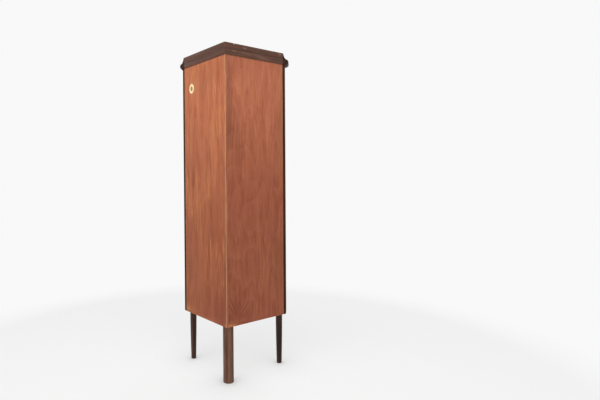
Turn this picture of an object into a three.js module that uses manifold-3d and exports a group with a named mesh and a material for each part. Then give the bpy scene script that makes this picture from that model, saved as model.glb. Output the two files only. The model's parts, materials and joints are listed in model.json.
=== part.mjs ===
// A free-standing corner display cabinet with one glazed door, in millimetres, +Z up.
// The front faces -Y and the right-angled rear corner points to +Y.
// Plans are drawn in (x, g): x is across the front, g is the distance forward of the rear corner.
// Each wall plane runs at 45 degrees from the rear corner, and depths into the cabinet are square to it.
import * as THREE from 'three';
import { mergeVertices } from 'three/addons/utils/BufferGeometryUtils.js';
import Module from 'manifold-3d';

const wasm = await Module();
wasm.setup();

// Overall sizes
const frontWidth = 600;
const sideReturnDepth = 70;
const legLength = 301;
const bodyHeight = 1436;
const corniceHeight = 63;

// Clearances shared by every fitGap
const fitGap = 0.3;
const overrunLength = 5;

// Back panels and the posts that carry them
const panelThickness = 8;
const postThickness = 26;
const postBevelStripWidth = 17.5;
const cornerPostWidth = 26;
const cornerPostFlatDepth = 10;

// Boards and rails
const boardThickness = 20;
const railHeight = 40;
const railThickness = 20;
const tenonLength = 14;
const tenonThickness = 8;
const tenonShoulderHeight = 6;
const tongueMarginLength = 14;

// Cornice
const bandProudDepth = 2.5;
const bandThickness = 14;
const bandCornerCutDepth = 3.5;
const mouldingBackDepth = 10;
const mouldingTopSetbackDepth = 8;
const noseRadius = 14;
const noseCentreOffset = 7.5;
const noseLiftHeight = 4;
const filletSetbackDepth = 4;
const coveBendOffset = -3;
const coveBendHeight = 39;
const noseSteps = 9;
const coveSteps = 6;
const corniceBoardThickness = 9;
const corniceBoardDrop = 1;
const bearerWidth = 24;

// Legs
const rearLegRadius = 28.3;
const rearLegDistance = 44;
const frontLegTopRadius = 19;
const frontLegFootRadius = 14.5;
const frontLegSideInset = 42.5;
const frontLegFrontInset = 31;
const spigotRadius = 10;
const spigotLength = 17;
const legEdgeWidth = 1.5;
const legSides = 24;
const legSteps = 7;

// Glass shelves and their pins
const shelfThickness = 6;
const shelfCount = 3;
const shelfSideGap = 3;
const shelfFrontGap = 19;
const shelfRearGap = 2.5;
const shelfPinRadius = 3;
const shelfPinDepth = 9;
const shelfPinReachLength = 11;
const shelfPinCollarRadius = 4.5;
const shelfPinCollarWidth = 1.2;
const shelfPinSides = 8;
const shelfPinFrontInset = 27;

// Door
const doorGap = 1.5;
const doorRailGap = 2;
const doorSetbackDepth = 1;
const doorThickness = 20;
const stileWidth = 50;
const topRailWidth = 45;
const bottomRailWidth = 60;
const rebateWidth = 8;
const rebateDepth = 12;
const doorTenonLength = 26;
const glassThickness = 3;
const beadThickness = 8;

// Door stop
const stopWidth = 11;
const stopThickness = 12;

// Hinges
const hingeCount = 3;
const hingeLength = 60;
const hingeEndMarginHeight = 130;
const leafThickness = 1.5;
const leafWidth = 16;
const knuckleRadius = 3.5;
const hingePinRadius = 1.6;
const hingePinHeadRadius = 2.4;
const hingePinHeadHeight = 1.5;
const knuckleSides = 16;

// Lock, key and strike
const keyBacksetDistance = 17.5;
const keyHeightShare = 0.48;
const lockDepth = 12;
const lockWallThickness = 1.5;
const lockCoverThickness = 1.2;
const lockFaceThickness = 2;
const lockBelowHeight = 11;
const lockBackLength = 22;
const boltHeight = 10;
const boltThickness = 5;
const boltLength = 36;
const boltAboveKeyHeight = 5;
const boltThrowLength = 8;
const talonHalfWidth = 8.5;
const talonDepth = 3.4;
const bitLength = 7.5;
const bitThickness = 2.4;
const bitWidth = 5;
const keyShaftRadius = 2.4;
const keyCollarRadius = 3.8;
const keyCollarWidth = 2;
const keyStemLength = 2.5;
const bowOuterRadius = 9;
const bowInnerRadius = 5;
const bowThickness = 3;
const keySides = 16;
const lockScrewRadius = 1.2;
const lockScrewHeadRadius = 2;
const lockScrewInsetDistance = 3.2;
const lockScrewSides = 10;
const escutcheonWidth = 16;
const escutcheonHeight = 30;
const escutcheonThickness = 1.5;
const keyholeRadius = 2.8;
const keyholeSlotWidth = 3.2;
const keyholeDropLength = 8.2;
const strikeWidth = 13;
const strikeMarginHeight = 13;
const strikeThickness = 1.5;
const mortiseDepth = 10;

// Blank oval label on the right back panel
const labelWidth = 47;
const labelHeight = 55;
const labelThickness = 0.6;
const labelEdgeDistance = 96.3;
const labelBelowCorniceDistance = 131;
const labelSides = 32;

// Levels and planes worked out from the sizes above
const root2 = Math.SQRT2;
const halfFront = frontWidth / 2;
const carcassDepth = halfFront + sideReturnDepth;
const wallRun = halfFront * root2;
const bodyBottom = legLength;
const bodyTop = legLength + bodyHeight;
const corniceTop = bodyTop + corniceHeight;
const panelEnd = wallRun - postBevelStripWidth;
const innerSide = halfFront - postThickness;
const boardSide = innerSide - fitGap;
const panelBack = panelThickness + fitGap;
const railBack = carcassDepth - railThickness;
const boardFront = railBack - fitGap;
const boardTop = bodyBottom + boardThickness;
const ceilingBottom = bodyTop - boardThickness;
const noseOut = noseCentreOffset + noseRadius;
const bandRear = bandCornerCutDepth - bandProudDepth * root2;
const rearMost = Math.min(bandRear, 0);
const frontMost = carcassDepth + noseOut;
const midDepth = (rearMost + frontMost) / 2;
const doorFront = carcassDepth - doorSetbackDepth;
const doorBack = doorFront - doorThickness;
const doorSide = innerSide - doorGap;
const doorBottom = bodyBottom + railHeight + doorRailGap;
const doorTop = bodyTop - railHeight - doorRailGap;
const keyX = doorSide - keyBacksetDistance;
const keyZ = doorBottom + (doorTop - doorBottom) * keyHeightShare;

// Colours of the plain finishes
const finishes = {
  panel: { color: 0xa9674b, roughness: 0.55, metalness: 0 },
  dark: { color: 0x4d342b, roughness: 0.45, metalness: 0 },
  inner: { color: 0x8f5a3c, roughness: 0.55, metalness: 0 },
  glass: { color: 0xd6e4e0, roughness: 0.05, metalness: 0, transparent: true, opacity: 0.35 },
  brass: { color: 0xb08d4f, roughness: 0.3, metalness: 1 },
  steel: { color: 0x9a9a98, roughness: 0.35, metalness: 1 },
  paper: { color: 0xefe0b8, roughness: 0.8, metalness: 0 },
};
const materials = {};
for (const [name, values] of Object.entries(finishes)) {
  materials[name] = new THREE.MeshStandardMaterial(values);
}

const cabinet = new THREE.Group();
const carcass = new THREE.Group();
const door = new THREE.Group();
cabinet.add(carcass, door);

// Turns the forward distance g into the row's Y
const yOf = (g) => midDepth - g;

function place(group, name, finish, geometry) {
  const mesh = new THREE.Mesh(geometry, materials[finish]);
  mesh.name = name;
  group.add(mesh);
  return mesh;
}

// Point at a depth behind the right wall plane and a depth behind the left wall plane
const corner = (right, left) => [(left - right) / root2, (left + right) / root2];

// Point at a run along the right wall plane and a depth into the cabinet
const onWall = (run, depth) => [(run - depth) / root2, (run + depth) / root2];

// Forward distance of the plane at a depth into the cabinet, at a lateral x
const wallLine = (x, depth) => x + depth * root2;

const mirrorPlan = (points) => points.map(([x, g]) => [-x, g]);

// Upright solid over a plan outline between two levels
function upright(points, low, high) {
  const plan = points.map(([x, g]) => new THREE.Vector2(x, yOf(g)));
  if (THREE.ShapeUtils.area(plan) < 0) plan.reverse();
  const solid = new THREE.ExtrudeGeometry(new THREE.Shape(plan), {
    depth: high - low,
    bevelEnabled: false,
    steps: 1,
  });
  solid.translate(0, 0, low);
  return solid;
}

// Block between two lateral planes, two forward planes and two levels
function block(x0, x1, g0, g1, z0, z1) {
  const solid = new THREE.BoxGeometry(x1 - x0, g1 - g0, z1 - z0);
  solid.translate((x0 + x1) / 2, yOf((g0 + g1) / 2), (z0 + z1) / 2);
  return solid;
}

// Round bar from a point along a direction
function bar(radius, length, sides, start, direction) {
  const solid = new THREE.CylinderGeometry(radius, radius, length, sides);
  solid.rotateY(Math.PI / sides);
  solid.translate(0, length / 2, 0);
  return aim(solid, start, direction);
}

// Turned piece whose profile rises along its axis, aimed from a point along a direction
function turned(profile, sides, start, direction) {
  const points = profile.map(([r, h]) => new THREE.Vector2(r, h));
  const solid = new THREE.LatheGeometry(points, sides, Math.PI / sides);
  return aim(solid, start, direction);
}

function aim(solid, start, direction) {
  const up = new THREE.Vector3(0, 1, 0);
  const way = new THREE.Vector3(...direction).normalize();
  solid.applyQuaternion(new THREE.Quaternion().setFromUnitVectors(up, way));
  solid.translate(...start);
  return solid;
}

function toSolid(geometry) {
  const plain = geometry.clone();
  plain.deleteAttribute('normal');
  plain.deleteAttribute('uv');
  const merged = mergeVertices(plain);
  const mesh = new wasm.Mesh({
    numProp: 3,
    vertProperties: new Float32Array(merged.attributes.position.array),
    triVerts: new Uint32Array(merged.index.array),
  });
  mesh.merge();
  return new wasm.Manifold(mesh);
}

function toGeometry(solid) {
  const mesh = solid.getMesh();
  const geometry = new THREE.BufferGeometry();
  geometry.setAttribute('position', new THREE.BufferAttribute(new Float32Array(mesh.vertProperties), 3));
  geometry.setIndex(new THREE.BufferAttribute(new Uint32Array(mesh.triVerts), 1));
  geometry.computeVertexNormals();
  return geometry;
}

function cut(geometry, cutters) {
  let solid = toSolid(geometry);
  for (const cutter of cutters) solid = solid.subtract(toSolid(cutter));
  return toGeometry(solid);
}

function join(geometries) {
  let solid = toSolid(geometries[0]);
  for (const piece of geometries.slice(1)) solid = solid.add(toSolid(piece));
  return toGeometry(solid);
}

// Evenly spaced values from first to last
function spread(first, last, count) {
  const values = [];
  for (let i = 0; i < count; i += 1) {
    values.push(first + ((last - first) * i) / (count - 1));
  }
  return values;
}

// Back panels: the right one runs to the corner, and the left one butts against it
const panelHigh = bodyTop - fitGap;
const panelRight = [onWall(0, 0), onWall(panelEnd - fitGap, 0),
  onWall(panelEnd - fitGap, panelThickness), onWall(0, panelThickness)];
const panelLeft = mirrorPlan([onWall(panelBack, 0), onWall(panelEnd - fitGap, 0),
  onWall(panelEnd - fitGap, panelThickness), onWall(panelBack, panelThickness)]);
place(carcass, 'back_panel_right', 'panel', upright(panelRight, bodyBottom, panelHigh));
place(carcass, 'back_panel_left', 'panel', upright(panelLeft, bodyBottom, panelHigh));

// Corner post inside the rear corner, with a flat towards the room
const postNear = panelBack;
const postFar = panelBack + cornerPostWidth;
const postMid = postFar - cornerPostFlatDepth;
const cornerPostPlan = [corner(postNear, postNear), corner(postNear, postFar), corner(postMid, postFar),
  corner(postFar, postMid), corner(postFar, postNear)];
const cornerPostFront = (postMid + postFar) / root2;
const shelfFront = doorBack - shelfFrontGap;
const shelfPinForward = shelfFront - shelfPinFrontInset;
const shelfLevels = spread(boardTop, ceilingBottom, shelfCount + 2).slice(1, -1);
const shelfPinFlat = shelfPinRadius * Math.cos(Math.PI / shelfPinSides);
const pinLevelUnder = (level) => level - shelfPinFlat;

// Shelf pins: a shank in the wood, a collar against it and a shank under the glass
const collarStart = shelfPinDepth + fitGap;
const collarEnd = collarStart + shelfPinCollarWidth;
const shelfPinEnd = shelfPinDepth + shelfPinReachLength;
const shelfPinProfile = [[0, 0], [shelfPinRadius, 0], [shelfPinRadius, collarStart],
  [shelfPinCollarRadius, collarStart], [shelfPinCollarRadius, collarEnd], [shelfPinRadius, collarEnd],
  [shelfPinRadius, shelfPinEnd], [0, shelfPinEnd]];
const shelfNames = ['low', 'middle', 'high'];
const shelfPinHoles = { post: [], 1: [], [-1]: [] };

function shelfPin(name, holes, seat, direction, level) {
  const z = pinLevelUnder(level);
  const start = (depth) => [seat[0] - direction[0] * depth, seat[1] - direction[1] * depth, z];
  place(carcass, name, 'brass', turned(shelfPinProfile, shelfPinSides, start(shelfPinDepth), direction));
  const holeLength = collarStart + overrunLength;
  holes.push(bar(shelfPinRadius + fitGap, holeLength, shelfPinSides, start(collarStart), direction));
}

shelfLevels.forEach((level, i) => {
  const name = `shelf_pin_${shelfNames[i] ?? i + 1}`;
  shelfPin(`${name}_rear`, shelfPinHoles.post, [0, yOf(cornerPostFront), 0], [0, -1, 0], level);
  shelfPin(`${name}_right`, shelfPinHoles[1], [innerSide, yOf(shelfPinForward), 0], [-1, 0, 0], level);
  shelfPin(`${name}_left`, shelfPinHoles[-1], [-innerSide, yOf(shelfPinForward), 0], [1, 0, 0], level);
});
const cornerPost = upright(cornerPostPlan, boardTop + fitGap, ceilingBottom - fitGap);
place(carcass, 'corner_post', 'inner', cut(cornerPost, shelfPinHoles.post));

// Glass shelves
const shelfRear = cornerPostFront + shelfRearGap;
const shelfSide = innerSide - shelfSideGap;
const shelfDepthIn = panelThickness + shelfSideGap;
const shelfHalf = [[shelfRear - shelfDepthIn * root2, shelfRear],
  [shelfSide, wallLine(shelfSide, shelfDepthIn)], [shelfSide, shelfFront]];
const shelfPlan = [...shelfHalf, ...mirrorPlan(shelfHalf).reverse()];
shelfLevels.forEach((level, i) => {
  const name = `shelf_${shelfNames[i] ?? i + 1}`;
  place(carcass, name, 'glass', upright(shelfPlan, level + fitGap, level + fitGap + shelfThickness));
});

// Legs: each one has a shoulder under the floor board and a spigot in it
function legProfile(topRadius, footRadius, steps) {
  const shoulder = legLength - fitGap;
  const side = spread(0, 1, steps).map((share) => {
    const radius = footRadius + (topRadius - footRadius) * Math.sin((share * Math.PI) / 2);
    return [radius, legEdgeWidth + (shoulder - legEdgeWidth) * share];
  });
  return [[0, 0], [footRadius - legEdgeWidth, 0], ...side, [spigotRadius, shoulder],
    [spigotRadius, shoulder + spigotLength], [0, shoulder + spigotLength]];
}

const frontLegLateral = halfFront - frontLegSideInset;
const frontLegForward = carcassDepth - frontLegFrontInset;
const legPlaces = [
  ['rear_leg', 0, rearLegDistance, rearLegRadius, rearLegRadius, 2],
  ['front_leg_right', frontLegLateral, frontLegForward, frontLegTopRadius, frontLegFootRadius, legSteps],
  ['front_leg_left', -frontLegLateral, frontLegForward, frontLegTopRadius, frontLegFootRadius, legSteps],
];
const spigotHoles = [];
for (const [name, x, g, topRadius, footRadius, steps] of legPlaces) {
  const profile = legProfile(topRadius, footRadius, steps);
  place(carcass, name, 'dark', turned(profile, legSides, [x, yOf(g), 0], [0, 0, 1]));
  const holeLength = spigotLength + fitGap + overrunLength;
  const holeStart = [x, yOf(g), bodyBottom - overrunLength];
  spigotHoles.push(bar(spigotRadius + fitGap, holeLength, legSides, holeStart, [0, 0, 1]));
}

// Floor and ceiling boards
const boardHalf = [[boardSide, wallLine(boardSide, panelBack)], [boardSide, boardFront]];
const boardPlan = [[0, panelBack * root2], ...boardHalf, ...mirrorPlan(boardHalf).reverse()];
const tongueBack = wallLine(boardSide, panelBack) + tongueMarginLength;
const tongueFront = boardFront - tongueMarginLength;

// Tongue across a board, which reaches into both posts; the same block, larger by a fitGap, cuts the posts
function tongue(z0, z1, extra) {
  const half = boardSide + tenonLength + extra;
  const mid = (z0 + z1) / 2;
  return block(-half, half, tongueBack - extra, tongueFront + extra,
    mid - tenonThickness / 2 - extra, mid + tenonThickness / 2 + extra);
}

const floorBoard = join([upright(boardPlan, bodyBottom, boardTop), tongue(bodyBottom, boardTop, 0)]);
const ceilingBoard = join([upright(boardPlan, ceilingBottom, bodyTop), tongue(ceilingBottom, bodyTop, 0)]);
const tongueHoles = [tongue(bodyBottom, boardTop, fitGap), tongue(ceilingBottom, bodyTop, fitGap)];
place(carcass, 'bottom_board', 'inner', cut(floorBoard, spigotHoles));
place(carcass, 'ceiling_board', 'inner', ceilingBoard);

// A rail between two uprights with a tenon at each end
function railWithTenons(half, reach, g0, g1, z0, z1) {
  const mid = (g0 + g1) / 2;
  const tenon = block(-half - reach, half + reach, mid - tenonThickness / 2, mid + tenonThickness / 2,
    z0 + tenonShoulderHeight, z1 - tenonShoulderHeight);
  return [block(-half, half, g0, g1, z0, z1), tenon];
}

// The mortise that such a tenon needs on one side
function mortise(side, half, reach, g0, g1, z0, z1) {
  const mid = (g0 + g1) / 2;
  const far = half + reach + fitGap;
  const near = half - overrunLength;
  const x0 = Math.min(side * near, side * far);
  const x1 = Math.max(side * near, side * far);
  return block(x0, x1, mid - tenonThickness / 2 - fitGap, mid + tenonThickness / 2 + fitGap,
    z0 + tenonShoulderHeight - fitGap, z1 - tenonShoulderHeight + fitGap);
}

const railLevels = {
  front_rail_bottom: [bodyBottom, bodyBottom + railHeight],
  front_rail_top: [bodyTop - railHeight, bodyTop],
};
const railMortises = { 1: [], [-1]: [] };
for (const [name, [z0, z1]] of Object.entries(railLevels)) {
  place(carcass, name, 'dark', join(railWithTenons(boardSide, tenonLength, railBack, carcassDepth, z0, z1)));
  for (const side of [1, -1]) {
    railMortises[side].push(mortise(side, innerSide, tenonLength, railBack, carcassDepth, z0, z1));
  }
}

// Hinges: a leaf let into the left post, a leaf let into the door, and a pin
const pivotX = -(innerSide - doorGap / 2);
const pivotG = carcassDepth + knuckleRadius + fitGap;
const hingeCentres = spread(doorBottom + hingeEndMarginHeight, doorTop - hingeEndMarginHeight, hingeCount);
const knuckleHeight = hingeLength / 3;
const leafBack = doorFront - leafWidth;

function knuckle(z0, z1) {
  return bar(knuckleRadius, z1 - z0, knuckleSides, [pivotX, yOf(pivotG), z0], [0, 0, 1]);
}

function pinBore(z0, z1) {
  const start = [pivotX, yOf(pivotG), z0 - overrunLength];
  return bar(hingePinRadius + fitGap / 2, z1 - z0 + 2 * overrunLength, knuckleSides, start, [0, 0, 1]);
}

// The pin's head hangs under the lowest knuckle
const headLow = -hingePinHeadHeight - fitGap;
const hingePinProfile = [[0, headLow], [hingePinHeadRadius, headLow], [hingePinHeadRadius, -fitGap],
  [hingePinRadius, -fitGap], [hingePinRadius, hingeLength], [0, hingeLength]];

const hingeNames = ['low', 'middle', 'high'];
const leftPostCuts = [];
const hingeStileCuts = [];
const postLeafX = -innerSide;
const doorLeafX = -doorSide;
hingeCentres.forEach((z, i) => {
  const name = `hinge_${hingeNames[i] ?? i + 1}`;
  const z0 = z - hingeLength / 2;
  const z1 = z + hingeLength / 2;
  const mid0 = z - knuckleHeight / 2;
  const mid1 = z + knuckleHeight / 2;
  const postPlate = block(postLeafX - leafThickness, postLeafX, leafBack, pivotG, z0, z1);
  const gapForMiddle = block(pivotX - knuckleRadius - overrunLength, pivotX + knuckleRadius + overrunLength,
    carcassDepth + fitGap, pivotG + knuckleRadius + overrunLength, mid0 - fitGap, mid1 + fitGap);
  const bore = pinBore(z0, z1);
  const postLeaf = join([postPlate, knuckle(z0, z1)]);
  place(carcass, `${name}_post_leaf`, 'brass', cut(postLeaf, [gapForMiddle, bore]));
  const doorPlate = block(doorLeafX, doorLeafX + leafThickness, leafBack, carcassDepth, z0, z1);
  const doorArm = block(doorLeafX, doorLeafX + leafThickness, leafBack, pivotG, mid0, mid1);
  const doorLeaf = join([doorPlate, doorArm, knuckle(mid0, mid1)]);
  place(door, `${name}_door_leaf`, 'brass', cut(doorLeaf, [bore]));
  const pin = turned(hingePinProfile, knuckleSides, [pivotX, yOf(pivotG), z0], [0, 0, 1]);
  place(carcass, `${name}_pin`, 'steel', pin);
  leftPostCuts.push(block(postLeafX - leafThickness - fitGap, postLeafX + overrunLength, leafBack - fitGap,
    carcassDepth + overrunLength, z0 - fitGap, z1 + fitGap));
  hingeStileCuts.push(block(doorLeafX - overrunLength, doorLeafX + leafThickness + fitGap, leafBack - fitGap,
    carcassDepth + overrunLength, z0 - fitGap, z1 + fitGap));
});

// Lock levels, as seen from the key's axis
const lockG0 = doorBack;
const lockG1 = doorBack + lockDepth;
const boltZ0 = keyZ + boltAboveKeyHeight;
const boltZ1 = boltZ0 + boltHeight;
const lockZ0 = keyZ - lockBelowHeight;
const lockZ1 = boltZ1 + fitGap + lockWallThickness;
const lockX0 = keyX - lockBackLength;
const lockX1 = doorSide - fitGap;
const boltG0 = lockG0 + lockCoverThickness + 2 * fitGap;
const boltG1 = boltG0 + boltThickness;
const cavityG1 = lockG1 - lockWallThickness;
const boltX1 = doorSide - fitGap;
const boltX0 = boltX1 - boltLength;

// Strike plate on the right post, and the mortise behind it
const strikeG0 = (boltG0 + boltG1 - strikeWidth) / 2;
const strikeZ0 = boltZ0 - strikeMarginHeight;
const strikeZ1 = boltZ1 + strikeMarginHeight;
const strikeG1 = strikeG0 + strikeWidth;
const slotGap = 2 * fitGap;
const strikeSlot = block(innerSide - overrunLength, innerSide + mortiseDepth,
  boltG0 - slotGap, boltG1 + slotGap, boltZ0 - slotGap, boltZ1 + slotGap);
const strikePocket = block(innerSide - overrunLength, innerSide + strikeThickness + fitGap,
  strikeG0 - fitGap, strikeG1 + fitGap, strikeZ0 - fitGap, strikeZ1 + fitGap);
const strikePlate = block(innerSide, innerSide + strikeThickness, strikeG0, strikeG1, strikeZ0, strikeZ1);
place(carcass, 'strike_plate', 'brass', cut(strikePlate, [strikeSlot]));

// Side posts: bevelled along the wall plane, rebated for the panel
const postPlan = [[halfFront, halfFront], [halfFront, carcassDepth], [innerSide, carcassDepth],
  [innerSide, wallLine(innerSide, panelBack)], onWall(panelEnd, panelBack), onWall(panelEnd, 0)];
place(carcass, 'side_post_right', 'dark', cut(upright(postPlan, bodyBottom, bodyTop), [...railMortises[1],
  ...tongueHoles, ...shelfPinHoles[1], strikeSlot, strikePocket]));
place(carcass, 'side_post_left', 'dark', cut(upright(mirrorPlan(postPlan), bodyBottom, bodyTop),
  [...railMortises[-1], ...tongueHoles, ...shelfPinHoles[-1], ...leftPostCuts]));

// Door stop on the right post
const stopFront = doorBack - fitGap;
place(carcass, 'door_stop_strip', 'inner', block(boardSide - stopThickness, boardSide,
  stopFront - stopWidth, stopFront, doorBottom, doorTop));

// Cornice bands along the two walls
const bandEnd = halfFront - mouldingBackDepth - fitGap;
const bandInner = bandThickness - bandProudDepth;
const bandPlan = [[fitGap / 2, wallLine(fitGap / 2, bandInner)], [fitGap / 2, bandRear],
  [bandRear + bandProudDepth * root2, bandRear], [bandEnd, wallLine(bandEnd, -bandProudDepth)],
  [bandEnd, wallLine(bandEnd, bandInner)]];
place(carcass, 'cornice_band_right', 'dark', upright(bandPlan, bodyTop + fitGap, corniceTop));
place(carcass, 'cornice_band_left', 'dark', upright(mirrorPlan(bandPlan), bodyTop + fitGap, corniceTop));

// Cornice moulding: how far each outline point stands out from the face below, and its height
function mouldingOutline() {
  const filletOut = noseCentreOffset + noseRadius - filletSetbackDepth - noseRadius / 2;
  const outline = [[-mouldingBackDepth, fitGap], [filletOut, fitGap], [filletOut, noseLiftHeight]];
  const noseMid = noseLiftHeight + noseRadius;
  for (const share of spread(0, 1, noseSteps)) {
    const angle = -Math.PI / 2 + Math.PI * share;
    const out = noseCentreOffset + noseRadius * Math.cos(angle);
    outline.push([out, noseMid + noseRadius * Math.sin(angle)]);
  }
  const cove = new THREE.QuadraticBezierCurve(
    new THREE.Vector2(noseCentreOffset, noseMid + noseRadius),
    new THREE.Vector2(coveBendOffset, coveBendHeight),
    new THREE.Vector2(-mouldingTopSetbackDepth, corniceHeight),
  );
  for (const point of cove.getPoints(coveSteps).slice(1)) outline.push([point.x, point.y]);
  outline.push([-mouldingBackDepth, corniceHeight]);
  return outline;
}

// Straight moulding along +X with ends that slope with the distance out
function moulding(start, end, startSlope, endSlope) {
  const shape = new THREE.Shape(mouldingOutline().map(([out, up]) => new THREE.Vector2(out, up)));
  const solid = new THREE.ExtrudeGeometry(shape, { depth: 1, bevelEnabled: false, steps: 1 });
  const position = solid.attributes.position;
  for (let i = 0; i < position.count; i += 1) {
    const out = position.getX(i);
    const up = position.getY(i);
    const atStart = position.getZ(i) > 0;
    const along = atStart ? start + startSlope * out : end + endSlope * out;
    position.setXYZ(i, along, -out, up);
  }
  solid.computeVertexNormals();
  return solid;
}

const mitreBackGap = fitGap / 2;
const frontMoulding = moulding(-halfFront + mitreBackGap, halfFront - mitreBackGap, -1, 1);
frontMoulding.translate(0, yOf(carcassDepth), bodyTop);
place(carcass, 'cornice_moulding_front', 'dark', frontMoulding);
const sideRun = carcassDepth - halfFront + bandProudDepth * root2;

// The rear end of a side moulding lies in the same plane as the band's face
function sideMoulding(side) {
  const solid = side > 0 ? moulding(mitreBackGap, sideRun, -1, -1) : moulding(-sideRun, -mitreBackGap, 1, 1);
  solid.rotateZ((side * Math.PI) / 2);
  solid.translate(side * halfFront, yOf(carcassDepth), bodyTop);
  return solid;
}

place(carcass, 'cornice_moulding_right', 'dark', sideMoulding(1));
place(carcass, 'cornice_moulding_left', 'dark', sideMoulding(-1));

// Cornice top board inside the bands and mouldings, and the bearer under it
const topSide = halfFront - mouldingBackDepth - fitGap;
const topFront = carcassDepth - mouldingBackDepth - fitGap;
const topHalf = [[topSide, wallLine(topSide, bandInner + fitGap)], [topSide, topFront]];
const topPlan = [[0, (bandInner + fitGap) * root2], ...topHalf, ...mirrorPlan(topHalf).reverse()];
const topHigh = corniceTop - corniceBoardDrop;
place(carcass, 'cornice_top_board', 'dark', upright(topPlan, topHigh - corniceBoardThickness, topHigh));
const bearerRear = (bandInner + fitGap) * root2 + bearerWidth / 2;
place(carcass, 'cornice_bearer', 'inner', block(-bearerWidth / 2, bearerWidth / 2, bearerRear, topFront,
  bodyTop + fitGap, topHigh - corniceBoardThickness - fitGap));

// Blank oval label on the right back panel
const labelOutline = new THREE.Shape();
labelOutline.absellipse(0, 0, labelWidth / 2, labelHeight / 2, 0, 2 * Math.PI, false, 0);
const label = new THREE.ExtrudeGeometry(labelOutline, {
  depth: labelThickness,
  bevelEnabled: false,
  curveSegments: labelSides,
});
label.rotateX(Math.PI / 2);
label.rotateZ((Math.PI * 3) / 4);
const [labelX, labelG] = onWall(wallRun - labelEdgeDistance, -fitGap - labelThickness);
label.translate(labelX, yOf(labelG), bodyTop - labelBelowCorniceDistance);
place(carcass, 'blank_label', 'paper', label);

// Door frame: rebated stiles and rails, joined by tenons
const stileInner = doorSide - stileWidth;
const railHalf = stileInner - fitGap;
const rebateFront = doorBack + rebateDepth;
const doorRails = {
  door_rail_top: [doorTop - topRailWidth, doorTop, -1],
  door_rail_bottom: [doorBottom, doorBottom + bottomRailWidth, 1],
};
const stileMortises = { 1: [], [-1]: [] };
for (const [name, [z0, z1, inward]] of Object.entries(doorRails)) {
  const edge = inward > 0 ? z1 : z0;
  const rebateLow = Math.min(edge - inward * rebateWidth, edge + inward * overrunLength);
  const rebateHigh = Math.max(edge - inward * rebateWidth, edge + inward * overrunLength);
  const rebate = block(-railHalf - overrunLength, railHalf + overrunLength,
    doorBack - overrunLength, rebateFront, rebateLow, rebateHigh);
  const body = cut(block(-railHalf, railHalf, doorBack, doorFront, z0, z1), [rebate]);
  const tenonZ = inward > 0 ? [z0, z1 - rebateWidth] : [z0 + rebateWidth, z1];
  const tenon = railWithTenons(railHalf, doorTenonLength, doorBack, doorFront, ...tenonZ)[1];
  place(door, name, 'dark', join([body, tenon]));
  for (const side of [1, -1]) {
    stileMortises[side].push(mortise(side, stileInner, doorTenonLength, doorBack, doorFront, ...tenonZ));
  }
}

// Keyhole cutter through the stile, the lock's floor and the escutcheon
const keyhole = (g0, g1) => [
  bar(keyholeRadius, g1 - g0, keySides, [keyX, yOf(g0), keyZ], [0, -1, 0]),
  block(keyX - keyholeSlotWidth / 2, keyX + keyholeSlotWidth / 2, g0, g1, keyZ - keyholeDropLength, keyZ),
];

function stile(side, extraCuts) {
  const x0 = Math.min(side * stileInner, side * doorSide);
  const x1 = Math.max(side * stileInner, side * doorSide);
  const rebateNear = stileInner - overrunLength;
  const rebateFar = stileInner + rebateWidth;
  const rebateX0 = Math.min(side * rebateNear, side * rebateFar);
  const rebateX1 = Math.max(side * rebateNear, side * rebateFar);
  const rebate = block(rebateX0, rebateX1, doorBack - overrunLength, rebateFront,
    doorBottom + bottomRailWidth - rebateWidth, doorTop - topRailWidth + rebateWidth);
  const board = block(x0, x1, doorBack, doorFront, doorBottom, doorTop);
  return cut(board, [rebate, ...stileMortises[side], ...extraCuts]);
}

const lockPocket = block(lockX0 - fitGap, doorSide + overrunLength,
  lockG0 - overrunLength, lockG1 + fitGap, lockZ0 - fitGap, lockZ1 + fitGap);
place(door, 'door_stile_hinge', 'dark', stile(-1, hingeStileCuts));

// Lock case, open at the back, with a face plate that the bolt passes through
const caseG0 = lockG0 + lockCoverThickness + fitGap;
const cavity = block(lockX0 + lockWallThickness, lockX1 - lockFaceThickness,
  lockG0 - overrunLength, cavityG1, lockZ0 + lockWallThickness, lockZ1 - lockWallThickness);
const boltSlot = block(boltX0, lockX1 + overrunLength,
  boltG0 - fitGap, boltG1 + fitGap, boltZ0 - fitGap, boltZ1 + fitGap);
const lockBody = block(lockX0, lockX1, caseG0, lockG1, lockZ0, lockZ1);
const lockScrewXs = [lockX0 + lockScrewInsetDistance, lockX1 - lockScrewInsetDistance];
const lockScrewZ = lockZ0 + lockScrewInsetDistance;
const bossZ1 = lockZ0 + 2 * lockScrewInsetDistance;
const bosses = lockScrewXs.map((x) => block(x - lockScrewInsetDistance, x + lockScrewInsetDistance,
  caseG0, lockG1, lockZ0, bossZ1));
const screwSeat = lockCoverThickness / 2;
const screwEnd = lockDepth / 2;
const lockScrewProfile = [[0, 0], [lockScrewHeadRadius, 0], [lockScrewHeadRadius, screwSeat],
  [lockScrewRadius, screwSeat], [lockScrewRadius, screwEnd], [0, screwEnd]];
const seatHole = screwSeat + fitGap / 2;
const lockScrewHole = [[0, -overrunLength], [lockScrewHeadRadius + fitGap, -overrunLength],
  [lockScrewHeadRadius + fitGap, seatHole], [lockScrewRadius + fitGap, seatHole],
  [lockScrewRadius + fitGap, screwEnd + fitGap], [0, screwEnd + fitGap]];
const lockScrewStarts = lockScrewXs.map((x) => [x, yOf(lockG0), lockScrewZ]);
const lockScrewHoles = lockScrewStarts
  .map((start) => turned(lockScrewHole, lockScrewSides, start, [0, -1, 0]));
const tray = cut(lockBody, [cavity, boltSlot, ...keyhole(cavityG1 - overrunLength, lockG1 + overrunLength)]);
place(door, 'lock_case', 'steel', cut(join([tray, ...bosses]), lockScrewHoles));
const cover = block(lockX0, lockX1, lockG0, lockG0 + lockCoverThickness, lockZ0, lockZ1);
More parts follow.
